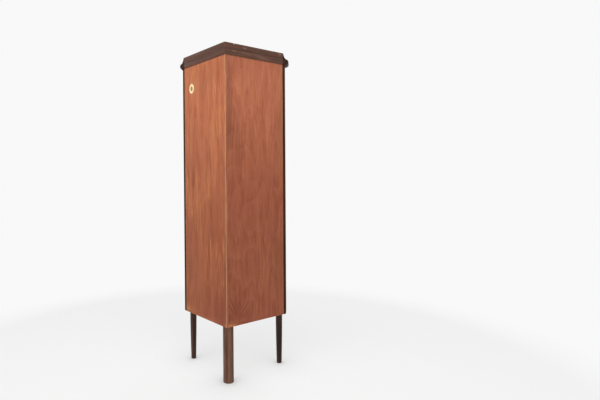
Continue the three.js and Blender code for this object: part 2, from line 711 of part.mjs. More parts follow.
place(door, 'lock_cover', 'steel', cut(cover, lockScrewHoles));
['inner', 'outer'].forEach((end, i) => {
  const screw = turned(lockScrewProfile, lockScrewSides, lockScrewStarts[i], [0, -1, 0]);
  place(door, `lock_screw_${end}`, 'steel', screw);
});

// Bolt, drawn back at rest, with a cut-out that the key's bit turns in
const talonX = keyX - boltThrowLength / 2;
const talon = block(talonX - talonHalfWidth, talonX + talonHalfWidth,
  boltG0 - overrunLength, boltG1 + overrunLength, boltZ0 - overrunLength, boltZ0 + talonDepth);
const boltGroup = new THREE.Group();
door.add(boltGroup);
place(boltGroup, 'lock_bolt', 'steel', cut(block(boltX0, boltX1, boltG0, boltG1, boltZ0, boltZ1), [talon]));

// Escutcheon on the door's face
const plateG0 = doorFront + fitGap;
const plateG1 = plateG0 + escutcheonThickness;
const plateShape = new THREE.Shape();
plateShape.absellipse(0, 0, escutcheonWidth / 2, escutcheonHeight / 2, 0, 2 * Math.PI, false, 0);
const plate = new THREE.ExtrudeGeometry(plateShape, {
  depth: escutcheonThickness,
  bevelEnabled: false,
  curveSegments: labelSides / 2,
});
plate.rotateX(Math.PI / 2);
plate.translate(keyX, yOf(plateG0), keyZ);
place(door, 'escutcheon', 'brass', cut(plate, keyhole(plateG0 - overrunLength, plateG1 + overrunLength)));
const stileKeyhole = keyhole(lockG1 - overrunLength, doorFront + overrunLength);
place(door, 'door_stile_lock', 'dark', stile(1, [lockPocket, ...stileKeyhole]));

// Key: bit, shaft, collar and bow, with the bit down as when it is put in
const keyGroup = new THREE.Group();
keyGroup.position.set(keyX, 0, keyZ);
door.add(keyGroup);
const bitG0 = boltG0;
const collarG0 = plateG1 + fitGap;
const bowCentre = collarG0 + keyCollarWidth + keyStemLength + bowOuterRadius;
const shaftLength = bowCentre - bowInnerRadius - fitGap - bitG0;
const shaft = bar(keyShaftRadius, shaftLength, keySides, [0, yOf(bitG0), 0], [0, -1, 0]);
const collar = bar(keyCollarRadius, keyCollarWidth, keySides, [0, yOf(collarG0), 0], [0, -1, 0]);
const bit = block(-bitThickness / 2, bitThickness / 2, bitG0, bitG0 + bitWidth, -bitLength, 0);
const bowMiddle = yOf(bowCentre);
const bowRing = bar(bowOuterRadius, bowThickness, keySides, [-bowThickness / 2, bowMiddle, 0], [1, 0, 0]);
const bowHole = bar(bowInnerRadius, 2 * bowThickness, keySides, [-bowThickness, bowMiddle, 0], [1, 0, 0]);
place(keyGroup, 'key', 'steel', join([shaft, collar, bit, cut(bowRing, [bowHole])]));

// Glass pane and the beads that hold it
const glassSide = stileInner + rebateWidth - 3 * fitGap;
const glassLow = doorBottom + bottomRailWidth - rebateWidth + 3 * fitGap;
const glassHigh = doorTop - topRailWidth + rebateWidth - 3 * fitGap;
const glassG1 = rebateFront - fitGap;
const glassG0 = glassG1 - glassThickness;
place(door, 'door_glass', 'glass', block(-glassSide, glassSide, glassG0, glassG1, glassLow, glassHigh));
const beadG1 = glassG0 - fitGap;
const beadOut = stileInner + rebateWidth - fitGap;
const beadLow = doorBottom + bottomRailWidth - rebateWidth + fitGap;
const beadHigh = doorTop - topRailWidth + rebateWidth - fitGap;
const beadChamfer = beadThickness / 3;

// A bead of square section with its outer back edge taken off, mitred by its neighbours' ends
function bead(along, half, offset, sign) {
  const section = [[0, 0], [beadThickness, 0], [beadThickness, beadThickness - beadChamfer],
    [beadThickness - beadChamfer, beadThickness], [0, beadThickness]];
  const shape = new THREE.Shape(section.map(([a, b]) => new THREE.Vector2(a, b)));
  const solid = new THREE.ExtrudeGeometry(shape, { depth: 1, bevelEnabled: false, steps: 1 });
  const position = solid.attributes.position;
  const farEnd = along === 'x' ? sign : -sign;
  for (let i = 0; i < position.count; i += 1) {
    const inwards = position.getX(i);
    const y = yOf(beadG1) + position.getY(i);
    const end = position.getZ(i) > 0 ? farEnd : -farEnd;
    const run = end * (half - inwards - fitGap / 2);
    const across = sign * (offset - inwards);
    position.setXYZ(i, along === 'x' ? run : across, y, along === 'x' ? across : run);
  }
  solid.computeVertexNormals();
  return solid;
}

const beadMid = (beadLow + beadHigh) / 2;
const beadHalfHeight = (beadHigh - beadLow) / 2;
const beadPieces = {
  glazing_bead_top: bead('x', beadOut, beadHalfHeight, 1),
  glazing_bead_bottom: bead('x', beadOut, beadHalfHeight, -1),
  glazing_bead_right: bead('z', beadHalfHeight, beadOut, 1),
  glazing_bead_left: bead('z', beadHalfHeight, beadOut, -1),
};
for (const [name, solid] of Object.entries(beadPieces)) {
  solid.translate(0, 0, beadMid);
  place(door, name, 'dark', solid);
}

export default cabinet;
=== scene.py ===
# %% [markdown]
# # A corner display cabinet
#
# The cabinet stands in a right-angled corner of a room, so its two veneered back panels meet at the rear.
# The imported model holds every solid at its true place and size, in metres, and this lesson gives the solids
# their finish. Boards keep their places and only have their sharp edges eased, and turned or moulded pieces
# are made again with more facets, because light shows a facet before it shows a millimetre.

# %% Load the frame
import json
import math

import bmesh
import bpy
from mathutils import Euler, Matrix, Vector
from mathutils.geometry import interpolate_bezier


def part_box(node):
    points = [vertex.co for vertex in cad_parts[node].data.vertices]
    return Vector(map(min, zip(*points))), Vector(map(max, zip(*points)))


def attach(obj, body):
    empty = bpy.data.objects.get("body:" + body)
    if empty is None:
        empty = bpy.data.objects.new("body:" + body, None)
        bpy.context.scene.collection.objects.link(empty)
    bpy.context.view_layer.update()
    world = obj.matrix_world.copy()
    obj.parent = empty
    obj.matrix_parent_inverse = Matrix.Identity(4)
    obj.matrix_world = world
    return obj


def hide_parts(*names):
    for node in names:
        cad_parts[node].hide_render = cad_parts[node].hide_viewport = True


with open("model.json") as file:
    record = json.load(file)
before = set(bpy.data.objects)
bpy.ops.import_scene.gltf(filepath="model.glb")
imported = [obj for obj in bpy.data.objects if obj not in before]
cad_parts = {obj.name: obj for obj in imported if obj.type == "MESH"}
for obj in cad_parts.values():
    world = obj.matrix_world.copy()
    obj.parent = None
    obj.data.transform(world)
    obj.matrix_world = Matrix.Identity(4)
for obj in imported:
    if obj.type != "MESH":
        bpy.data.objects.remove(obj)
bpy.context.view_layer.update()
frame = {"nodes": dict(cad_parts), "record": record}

# %% [markdown]
# ## The camera
#
# The picture looks at the back of the cabinet from the height of a person's chest. A view camera keeps the
# uprights parallel by sliding its lens, and Blender's shift does the same, so the camera hardly tilts.

# %% Place the camera
CAMERA_PLACE = Vector((-0.376, 2.5995, 1.098))
CAMERA_HEADING = math.radians(188.61)
CAMERA_TILT = math.radians(89.08)
CAMERA_ROLL = math.radians(-0.43)

lens = bpy.data.cameras.new("camera")
lens.sensor_width = 36.0
lens.lens = 27.94
lens.shift_x = 0.1198
lens.shift_y = -0.0267
camera = bpy.data.objects.new("camera", lens)
camera.location = CAMERA_PLACE
turn = Euler((CAMERA_TILT, 0.0, CAMERA_HEADING)).to_matrix()
camera.rotation_euler = (turn @ Matrix.Rotation(CAMERA_ROLL, 3, "Z")).to_euler()
bpy.context.scene.collection.objects.link(camera)
bpy.context.scene.camera = camera
print("camera at", tuple(CAMERA_PLACE))

# %% [markdown]
# ## Measures taken from the solids
#
# Both walls start at the rear corner and run forward at 45 degrees. A pattern on a panel is easier to place
# with one axis along its wall and one up it, so both wall directions are named here once.

# %% Name the measures
MM = 0.001
WALL_RIGHT = Vector((1.0, -1.0, 0.0)).normalized()
WALL_LEFT = Vector((-1.0, -1.0, 0.0)).normalized()
ACROSS_X = Vector((1.0, 0.0, 0.0))
ACROSS_Y = Vector((0.0, 1.0, 0.0))
UP = Vector((0.0, 0.0, 1.0))

panel_low, panel_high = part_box("back_panel_right")
corner_y = panel_high.y
body_bottom = panel_low.z
body_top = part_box("side_post_right")[1].z
band_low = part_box("cornice_band_right")[0].z
print("rear corner at y", round(corner_y, 4), "body", round(body_bottom, 4), round(body_top, 4))


def outwards_of(wall):
    return Vector((wall.x, -wall.y, 0.0))


def on_wall(wall, run, out, height):
    """Point at a run along a wall from the rear corner, at a distance out of it and at a height."""
    return Vector((0.0, corner_y, height)) + wall * run + outwards_of(wall) * out


# %% [markdown]
# ## Small helpers for node trees
#
# A material is a chain of small sums. These helpers add one node each and give back its output, so that a
# finish reads as a few lines. A value that is an output gets a link, and anything else becomes a setting. An
# output knows the tree it belongs to, so a helper that is given one needs no tree.

# %% Node helpers
def tree_of(*values):
    """The node tree of the first output among the values."""
    return next(value.id_data for value in values if isinstance(value, bpy.types.NodeSocket))


def feed(socket, value):
    if isinstance(value, bpy.types.NodeSocket):
        tree_of(value).links.new(value, socket)
    else:
        socket.default_value = tuple(value) if isinstance(value, Vector) else value


def fill(node, **sockets):
    """Feeds the named inputs of a node."""
    for name, value in sockets.items():
        feed(node.inputs[name.replace("_", " ")], value)
    return node


def node_of(kind, settings=None, tree=None, **sockets):
    """A new node, in the tree of the outputs that it takes where no tree is given."""
    made = (tree or tree_of(*sockets.values())).nodes.new(kind)
    for name, value in (settings or {}).items():
        setattr(made, name, value)
    return fill(made, **sockets)


def sum_of(operation, first, second=0.0, third=0.0):
    """One Math node: first, operation, second, and third where the operation takes it."""
    made = node_of("ShaderNodeMath", {"operation": operation}, tree_of(first, second, third))
    for socket, value in zip(made.inputs, (first, second, third)):
        feed(socket, value)
    return made.outputs[0]


def times(first, second):
    return sum_of("MULTIPLY", first, second)


def swayed(value, sway, reach):
    """Moves a value up and down by a noise, which leans to either side of a half."""
    return sum_of("MULTIPLY_ADD", sum_of("SUBTRACT", sway, 0.5), reach, value)


def vector_sum(operation, first, second=(0.0, 0.0, 0.0)):
    """One Vector Math node. Dot product and length give a value, and the rest give a vector."""
    made = node_of("ShaderNodeVectorMath", {"operation": operation}, tree_of(first, second))
    feed(made.inputs[0], first)
    feed(made.inputs[1], second)
    return made.outputs["Value" if operation in ("DOT_PRODUCT", "LENGTH") else "Vector"]


def combined(x, y, z):
    return node_of("ShaderNodeCombineXYZ", X=x, Y=y, Z=z).outputs[0]


def split(vector):
    return node_of("ShaderNodeSeparateXYZ", Vector=vector).outputs


def noise(vector, stretch=None, scale=1.0, detail=2.0, roughness=0.5, seed=0.0, distortion=0.0):
    """Cloudy noise from 0 to 1. Stretch multiplies the three axes first, so a small number draws it out."""
    if stretch:
        vector = vector_sum("MULTIPLY", vector, stretch)
    made = node_of("ShaderNodeTexNoise", {"noise_dimensions": "4D"}, Vector=vector, W=seed, Scale=scale,
                   Detail=detail, Roughness=roughness, Distortion=distortion)
    return made.outputs["Fac"]


def between(value, low, high):
    """Stretches the values from low to high over 0 to 1, softly at both ends, and clips the rest."""
    made = node_of("ShaderNodeMapRange", {"interpolation_type": "SMOOTHSTEP"}, Value=value, From_Min=low,
                   From_Max=high)
    return made.outputs["Result"]


def onto(value, low, high, start=0.0, stop=1.0):
    """Puts the values from start to stop evenly onto low to high."""
    ends = {"From_Min": start, "From_Max": stop, "To_Min": low, "To_Max": high}
    return node_of("ShaderNodeMapRange", Value=value, **ends).outputs["Result"]


def mixed(share, first, second, blend="MIX"):
    """Mixes two colours. Blend modes such as MULTIPLY work by the share too."""
    settings = {"data_type": "RGBA", "blend_type": blend, "clamp_factor": True}
    made = node_of("ShaderNodeMix", settings, tree_of(share, first, second))
    for number, value in ((0, share), (6, first), (7, second)):
        feed(made.inputs[number], value)
    return made.outputs[2]


def layered(colour, *layers):
    """Lays colours over one another. Each layer is a mask, a share of its strength and a colour."""
    for mask, share, tone in layers:
        colour = mixed(times(mask, share), colour, tone)
    return colour


def paint(red, green, blue):
    """A colour as a screen shows it, 0 to 255, turned into the linear light that shaders use."""
    def linear(part):
        share = part / 255.0
        return share / 12.92 if share <= 0.04045 else ((share + 0.055) / 1.055) ** 2.4
    return (linear(red), linear(green), linear(blue), 1.0)


def new_group(name, outputs, **inputs):
    """A shader group that takes a Vector and the named inputs, each given with its usual value."""
    group = bpy.data.node_groups.new(name, "ShaderNodeTree")
    kinds = {tuple: "NodeSocketVector", float: "NodeSocketFloat"}
    for socket_name, value in {"Vector": (0.0, 0.0, 0.0), **inputs}.items():
        socket = group.interface.new_socket(socket_name.replace("_", " "), in_out="INPUT",
                                            socket_type=kinds[type(value)])
        socket.default_value = value
    for socket_name in outputs:
        kind = kinds[tuple if socket_name == "Vector" else float]
        group.interface.new_socket(socket_name, in_out="OUTPUT", socket_type=kind)
    given = group.nodes.new("NodeGroupInput").outputs
    result = group.nodes.new("NodeGroupOutput").inputs
    return group, given, result


def use_group(group, vector, **sockets):
    return node_of("ShaderNodeGroup", {"node_tree": group}, Vector=vector, **sockets).outputs


# %% [markdown]
# ## Which way the grain runs
#
# One set of wood patterns serves every board, if each board first turns its own length into the pattern's
# Z axis. Three dot products do that for any direction, also for boards that run at 45 degrees.

# %% Group: grain_frame
grain_frame, given, result = new_group("grain_frame", ["Vector"], Along=(0.0, 0.0, 1.0),
                                       Across=(1.0, 0.0, 0.0))
third_axis = vector_sum("CROSS_PRODUCT", given["Along"], given["Across"])
axes = (given["Across"], third_axis, given["Along"])
turned_vector = [vector_sum("DOT_PRODUCT", given["Vector"], axis) for axis in axes]
feed(result["Vector"], combined(*turned_vector))

# %% [markdown]
# ## Streaks, fibres and pores
#
# Real wood is lighter and darker in long streaks, has fine fibres inside the streaks, and open pores that
# show as short dark dashes. All three are noise that is stretched along the grain by different amounts. A
# slower noise first pushes the pattern a little sideways, so that no streak runs dead straight.

# %% Group: wood_fibre
wood_fibre, given, result = new_group("wood_fibre", ["Streak", "Fibre", "Pores", "Drift"], Streak_Width=0.02,
                                      Streak_Length=0.6, Wander=0.012, Seed=0.0)
seed = given["Seed"]
drift = noise(given["Vector"], (7.0, 7.0, 2.6), detail=3.0, seed=seed)
feed(result["Drift"], between(drift, 0.32, 0.68))
push = times(sum_of("SUBTRACT", drift, 0.5), given["Wander"])
pushed = vector_sum("ADD", given["Vector"], combined(push, push, 0.0))
across_scale = sum_of("DIVIDE", 1.0, given["Streak Width"])
along_scale = sum_of("DIVIDE", 1.0, given["Streak Length"])
streak_scale = combined(across_scale, across_scale, along_scale)
streak = noise(pushed, streak_scale, detail=4.0, roughness=0.55, seed=seed)
feed(result["Streak"], between(streak, 0.3, 0.7))
feed(result["Fibre"], noise(pushed, (420.0, 420.0, 9.0), detail=3.0, seed=seed))
pore_noise = noise(pushed, (900.0, 900.0, 55.0), detail=1.0, seed=seed)
feed(result["Pores"], between(pore_noise, 0.58, 0.72))

# %% [markdown]
# ## Arched figure
#
# A sheet of veneer crosses the growth rings of its log at a slant, so they show as tall nested arches and
# ovals, like height lines on a map. A slow noise stands for how far each point lies from the log's heart, and
# its height lines are the rings. Late wood is a darker line that starts softly and stops at once.

# %% Group: arched_figure
LATE_WOOD_POWER, RING_STOPS = 2.2, 0.88
arched_figure, given, result = new_group("arched_figure", ["Rings", "Band"], Width=0.2, Height=1.2,
                                         Rings=14.0, Seed=0.0)
seed = given["Seed"]
map_sizes = (given["Width"], given["Width"], given["Height"])
map_scale = combined(*[sum_of("DIVIDE", 1.0, size) for size in map_sizes])
depth_map = noise(given["Vector"], map_scale, detail=1.6, roughness=0.32, seed=seed)
phase = times(depth_map, given["Rings"])
within_ring = sum_of("FRACT", phase)
late_wood = sum_of("POWER", within_ring, LATE_WOOD_POWER)
feed(result["Rings"], times(late_wood, between(within_ring, 1.0, RING_STOPS)))
band_noise = noise(combined(phase, 0.0, 0.0), scale=0.45, detail=1.0, seed=seed)
feed(result["Band"], between(band_noise, 0.35, 0.65))

# %% [markdown]
# ## Worn edges
#
# Hands and cloths rub the stain off the sharp edges first. The Bevel node gives a normal that is rounded
# within a radius of every edge, so it differs from the true normal only there. Noise breaks the line up,
# because wear is never even.

# %% Group: worn_edges
LIKE_THE_FACE, LIKE_THE_EDGE = 0.995, 0.86
PATCH_SOFTNESS = 0.12
worn_edges, given, result = new_group("worn_edges", ["Mask"], Radius=0.002, Amount=0.5, Seed=0.0)
rounded = node_of("ShaderNodeBevel", {"samples": 6}, Radius=given["Radius"]).outputs[0]
true_normal = node_of("ShaderNodeNewGeometry", tree=worn_edges).outputs["True Normal"]
near_edge = between(vector_sum("DOT_PRODUCT", rounded, true_normal), LIKE_THE_FACE, LIKE_THE_EDGE)
patches = noise(given["Vector"], scale=28.0, detail=5.0, roughness=0.65, seed=given["Seed"])
threshold = sum_of("SUBTRACT", 1.0, given["Amount"])
worn_low, worn_high = (sum_of(step, threshold, PATCH_SOFTNESS) for step in ("SUBTRACT", "ADD"))
feed(result["Mask"], times(near_edge, between(patches, worn_low, worn_high)))

# %% [markdown]
# ## Scuffs in known places
#
# A scuff is where furniture was bumped or dragged. Each one is a soft spot at a point on the surface, torn
# by fine noise, so its edges are ragged and the stain inside it is only partly gone.

# %% Group: scuff
TEAR = 2.2
scuff, given, result = new_group("scuff", ["Mask"], Place=(0.0, 0.0, 0.0), Size=(0.02, 0.02, 0.02),
                                 Seed=0.0)
apart = vector_sum("SUBTRACT", given["Vector"], given["Place"])
relative = vector_sum("LENGTH", vector_sum("DIVIDE", apart, given["Size"]))
spot = between(relative, 1.0, 0.2)
ragged = noise(given["Vector"], scale=140.0, detail=6.0, roughness=0.7, seed=given["Seed"])
torn = between(swayed(spot, ragged, TEAR), 0.4, 0.95)
feed(result["Mask"], times(torn, between(spot, 0.0, 0.3)))

# %% [markdown]
# ## Dust
#
# Dust settles on what faces up and is wiped away from the rest, so the mask follows the surface's normal.

# %% Group: settled_dust
settled_dust, given, result = new_group("settled_dust", ["Mask"], Amount=0.4)
facing = node_of("ShaderNodeNewGeometry", tree=settled_dust).outputs["Normal"]
facing_up = between(vector_sum("DOT_PRODUCT", facing, UP), 0.6, 1.0)
clumps = noise(given["Vector"], scale=22.0, detail=6.0, roughness=0.6)
film = times(facing_up, between(clumps, 0.2, 0.8))
feed(result["Mask"], times(film, given["Amount"]))

# %% [markdown]
# ## Starting a material
#
# Every material reads Object coordinates, which never slide on a board, and ends in one Principled shader.
# The woods also share how they turn a place into the board's own axes, how they take their marks and how
# their fibres stand up from their pores.

# %% Material helpers
def start_material(name, roughness, metallic=0.0, specular=0.5):
    material = bpy.data.materials.new(name)
    material.use_nodes = True
    nodes = material.node_tree.nodes
    surface = fill(nodes["Principled BSDF"], Roughness=roughness, Metallic=metallic,
                   Specular_IOR_Level=specular)
    return material, surface, nodes.new("ShaderNodeTexCoord").outputs["Object"]


def raise_surface(surface, height, depth):
    """Bumps the surface by a height from 0 to 1, where 1 is as high as depth in metres."""
    bump = node_of("ShaderNodeBump", Height=height, Distance=depth, Strength=1.0)
    feed(surface.inputs["Normal"], bump.outputs["Normal"])


def raise_fibres(surface, fibre, depth):
    raise_surface(surface, sum_of("SUBTRACT", fibre["Fibre"], fibre["Pores"]), depth)


def on_board(place, along, across):
    return use_group(grain_frame, place, Along=along, Across=across)["Vector"]


def from_corner(place):
    return vector_sum("SUBTRACT", place, (0.0, corner_y, 0.0))


def fibres(board, width, length, seed, wander=0.012):
    """Wood with streaks of about this width and length, which wander sideways."""
    return use_group(wood_fibre, board, Streak_Width=width, Streak_Length=length, Wander=wander, Seed=seed)


def worn(place, radius, amount, seed):
    return use_group(worn_edges, place, Radius=radius, Amount=amount, Seed=seed)["Mask"]


def scuffed(place, wall, colour, marks, seed):
    """Lays marks over a colour. Each one is a run along the wall, a height, a size, a colour and a share."""
    for run, height, size, tone, share in marks:
        mark = use_group(scuff, place, Place=on_wall(wall, run, 0.0, height), Size=size, Seed=seed)["Mask"]
        colour = layered(colour, (mark, share, tone))
    return colour


# %% [markdown]
# ## The veneered panels
#
# Both panels are faced with an orange-brown veneer under a thin satin polish. One function makes both, and
# the tables after it say how they differ: one is straight-grained with clusters of lighter streaks, and the
# other is redder, with soft arches and a dark cloud close to the corner. Low down, fine lines fan out where a
# branch left the log. Colour that never repeats comes from patterns of three sizes: clouds a hand wide,
# streaks a finger wide and fibres as thin as hair. Painted shade darkens the panels towards the bottom and
# just under the cornice, a painted shadow line lies right under the cornice band, and one panel's edge at the
# corner is rubbed down to the bare wood.

# %% Materials: veneer
VENEER_DEEP = paint(158, 88, 60)
VENEER_WARM = paint(184, 110, 76)
VENEER_ORANGE = paint(208, 136, 86)
VENEER_RED = paint(158, 84, 62)
VENEER_LINE = paint(112, 58, 40)
VENEER_SILK = paint(196, 122, 94)
VENEER_OLIVE = paint(150, 98, 58)
BARE_WOOD = paint(218, 176, 134)
# A grime brown, for the dark cloud near the corner and for the painted shadow line under the cornice band.
GRIME_AND_SHADOW_BROWN = paint(92, 54, 38)
WHITE = (1.0, 1.0, 1.0, 1.0)
FIBRE_CONTRAST = 0.8
RUBBED_STRIP = (4.0 * MM, 2.2 * MM)
# Painted shade just under the cornice: the heights it spans and how dark it gets.
UNDER_CORNICE, SHADE_THERE = (1.5, 1.72), (0.9, 0.9, 0.9, 1.0)


def fanned_figure(board, centre, reach):
    """Fine lines that spread upwards from a point, as the grain does above a branch."""
    across, _, up = split(vector_sum("SUBTRACT", board, centre))
    turned = sum_of("ARCTAN2", across, up)
    distance = vector_sum("LENGTH", combined(across, 0.0, up))
    bent = sum_of("MULTIPLY_ADD", distance, 3.0, turned)
    lines = noise(combined(times(bent, 7.0), 0.0, distance))
    far = between(distance, reach, reach * 0.45)
    near = between(distance, 0.0, reach * 0.25)
    return times(between(lines, 0.48, 0.6), times(far, near))


def veneer(name, wall, seed, look, clouds, marks):
    material, surface, place = start_material(name, 0.44, specular=0.14)
    board = on_board(from_corner(place), UP, wall)
    run, _, level = split(board)
    wide = fibres(board, 0.03, 0.34, seed, 0.06)
    narrow = fibres(board, 0.006, 0.14, seed + 3.0, 0.03)
    figure = use_group(arched_figure, board, Width=look["arch_width"], Height=look["arch_height"],
                       Rings=look["rings"], Seed=seed)
    mottle = noise(board, (26.0, 26.0, 11.0), detail=5.0, roughness=0.6, seed=seed)
    glint = times(between(narrow["Streak"], 0.45, 1.0), between(narrow["Drift"], 0.25, 0.9))
    colour = layered(mixed(wide["Streak"], VENEER_DEEP, VENEER_WARM),
                     (wide["Drift"], look["red"], VENEER_RED),
                     (between(mottle, 0.35, 0.75), 0.75, VENEER_WARM),
                     (glint, look["orange"], VENEER_ORANGE),
                     (between(narrow["Streak"], 0.42, 0.0), look["dark"], VENEER_LINE),
                     (figure["Band"], look["bands"], VENEER_WARM),
                     (figure["Rings"], look["arches"], look["ring_colour"]),
                     (fanned_figure(board, *look["fan"]), look["fan_share"], VENEER_LINE))
    for cloud_run, cloud_height, width, tallness, tone, share in clouds:
        apart = vector_sum("SUBTRACT", board, (cloud_run, 0.0, cloud_height))
        apart = vector_sum("DIVIDE", apart, (width, 1.0, tallness))
        frayed = swayed(vector_sum("LENGTH", apart), wide["Streak"], 0.35)
        colour = layered(colour, (between(frayed, 1.0, 0.15), share, tone))
    colour = layered(colour, (narrow["Pores"], 0.45, VENEER_LINE))
    shade = mixed(narrow["Fibre"], (0.82, 0.81, 0.8, 1.0), (1.19, 1.19, 1.19, 1.0))
    colour = mixed(FIBRE_CONTRAST, colour, shade, "MULTIPLY")
    # Painted shade: the colour is multiplied darker and warmer towards the bottom, where less light falls,
    # and darker again just under the cornice. Each look's own tone then multiplies in, darker and cooler on
    # the arched panel.
    height = swayed(level, wide["Drift"], 0.12)
    painted_shading = mixed(between(height, *look["shade_heights"]), look["shaded_low_tone"], WHITE)
    painted_shading = mixed(between(height, *UNDER_CORNICE), painted_shading, SHADE_THERE)
    painted_shading = mixed(1.0, painted_shading, look["tone"], "MULTIPLY")
    colour = mixed(1.0, colour, painted_shading, "MULTIPLY")
    rubbed = worn(place, 3.6 * MM, 0.64, seed)
    rubs = noise(board, (80.0, 80.0, 11.0), detail=6.0, roughness=0.65, seed=seed)
    arris = times(between(run, *RUBBED_STRIP), between(rubs, 0.34, 0.5))
    arris = times(arris, onto(level, 0.85, 0.4, 0.9, 1.3))
    # A painted shadow line on the panel just under the cornice band.
    shadow_under_band = between(level, band_low - 9.0 * MM, band_low - MM)
    colour = layered(colour, (rubbed, 0.6, BARE_WOOD), (arris, look["arris"], BARE_WOOD),
                     (shadow_under_band, 0.6, GRIME_AND_SHADOW_BROWN))
    rough = sum_of("MULTIPLY_ADD", rubbed, 0.3, onto(wide["Streak"], 0.5, 0.38))
    fill(surface, Base_Color=scuffed(place, wall, colour, marks, seed), Roughness=rough)
    raise_fibres(surface, narrow, 0.1 * MM)
    return material


# %% Where the veneers differ
# The shade heights and shaded low tone of each look paint shade that darkens its panel towards the bottom.
straight_look = {
    "arch_width": 0.12, "arch_height": 1.6, "rings": 9.0, "ring_colour": VENEER_LINE,
    "red": 0.2, "orange": 0.82, "arches": 0.12, "dark": 0.32, "bands": 0.08, "arris": 0.62,
    "fan": ((0.012, 0.0, 0.34), 0.15), "fan_share": 0.7,
    "shade_heights": (0.7, 1.42), "shaded_low_tone": (0.81, 0.725, 0.665, 1.0), "tone": (0.99, 0.985, 0.94, 1.0)}
arched_look = {
    "arch_width": 0.15, "arch_height": 0.6, "rings": 13.0, "ring_colour": VENEER_SILK,
    "red": 0.55, "orange": 0.36, "arches": 0.42, "dark": 0.26, "bands": 0.2, "arris": 0.0,
    "fan": ((0.055, 0.0, 0.338), 0.14), "fan_share": 0.55,
    "shade_heights": (1.0, 1.62), "shaded_low_tone": (0.785, 0.715, 0.69, 1.0), "tone": (0.915, 0.92, 0.965, 1.0)}
# Clouds: run along the wall, height, half width, half height, colour and share.
clouds_right = [
    (0.30, 1.62, 0.10, 0.12, VENEER_ORANGE, 0.22),
    (0.24, 0.60, 0.07, 0.30, VENEER_ORANGE, 0.16),
    (0.33, 1.12, 0.05, 0.16, VENEER_LINE, 0.22),
    (0.06, 0.40, 0.10, 0.20, VENEER_RED, 0.4),
    (0.38, 0.325, 0.11, 0.04, VENEER_ORANGE, 0.4),
    (0.16, 0.305, 0.20, 0.02, VENEER_ORANGE, 0.3)]
clouds_left = [
    (0.08, 1.25, 0.06, 0.26, VENEER_LINE, 0.3),
    (0.02, 1.48, 0.04, 0.44, GRIME_AND_SHADOW_BROWN, 0.36),
    (0.09, 1.58, 0.035, 0.11, VENEER_ORANGE, 0.26),
    (0.07, 1.04, 0.035, 0.09, VENEER_WARM, 0.3),
    (0.39, 1.35, 0.05, 0.40, VENEER_OLIVE, 0.4),
    (0.37, 0.62, 0.09, 0.26, VENEER_OLIVE, 0.3),
    (0.02, 0.315, 0.09, 0.025, VENEER_ORANGE, 0.35)]
marks_right = [(0.39, 0.32, (0.05, 0.05, 0.018), VENEER_ORANGE, 0.4),
               (0.01, 0.31, (0.02, 0.02, 0.016), VENEER_ORANGE, 0.5)]
marks_left = [(0.03, 0.309, (0.06, 0.06, 0.012), VENEER_ORANGE, 0.5)]
veneer_straight = veneer("veneer_straight", WALL_RIGHT, 4.0, straight_look, clouds_right, marks_right)
veneer_arched = veneer("veneer_arched", WALL_LEFT, 11.0, arched_look, clouds_left, marks_left)
print("veneers", veneer_straight.name, veneer_arched.name)

# %% [markdown]
# ## The panel's edge
#
# Where one panel laps the other, its edge shows as a narrow strip down the rear corner. Plywood shows its
# layers there, light and dark in turn. Polish and dirt have darkened them, and the arris is rubbed paler.

# %% Material: ply edge
PLY_LIGHT, PLY_DARK = paint(128, 78, 52), paint(84, 48, 32)
PLY_LAYER = 3.2 * MM
ply_edge, surface, place = start_material("ply_edge", 0.6, specular=0.3)
ply_board = on_board(from_corner(place), UP, WALL_LEFT)
ply_depth = split(ply_board)["X"]
layer = sum_of("FRACT", times(ply_depth, 1.0 / PLY_LAYER))
ply_fibre = fibres(ply_board, 0.006, 0.12, 7.0)
ply_colour = mixed(between(layer, 0.42, 0.58), PLY_LIGHT, PLY_DARK)
ply_colour = mixed(sum_of("MULTIPLY_ADD", ply_fibre["Streak"], 0.5, 0.3), ply_colour, VENEER_DEEP)
rubbed = noise(place, (90.0, 90.0, 10.0), detail=6.0, roughness=0.7)
ply_arris = times(between(ply_depth, 3.0 * MM, MM), between(rubbed, 0.3, 0.5))
ply_colour = layered(ply_colour, (between(rubbed, 0.5, 0.7), 0.35, BARE_WOOD), (ply_arris, 0.5, BARE_WOOD))
fill(surface, Base_Color=ply_colour)
raise_surface(surface, ply_fibre["Fibre"], 0.2 * MM)

# %% [markdown]
# ## The dark wood
#
# Posts, legs, cornice and door frame are stained nearly black-brown and polished. The grain must follow each
# board's length, so the function takes that direction. The posts and the door keep a rusty red in the stain,
# and the legs are greyer and lighter. The front legs are darker than the rear leg. Edges wear to a lighter
# brown. Pale blotches lie on the rear leg as bloom and on the cornice bands as bloom and painted sheen,
# most on the left wall's band. The top collects dust, and one band has a few small chips.

# %% Materials: dark wood
STAIN_BLACK, STAIN_BROWN = paint(38, 26, 21), paint(66, 45, 37)
STAIN_RUST_BLACK, STAIN_RUST = paint(39, 23, 16), paint(73, 44, 31)
STAIN_SHADE, STAIN_WARM = paint(98, 71, 60), paint(92, 62, 49)
STAIN_LIGHT, STAIN_WORN = paint(134, 96, 76), paint(158, 122, 102)
# A pale colour for bloom, for chips and for the painted sheen on the cornice bands.
PALE_BLOOM_AND_SHEEN, DUST = paint(142, 106, 94), paint(176, 166, 152)


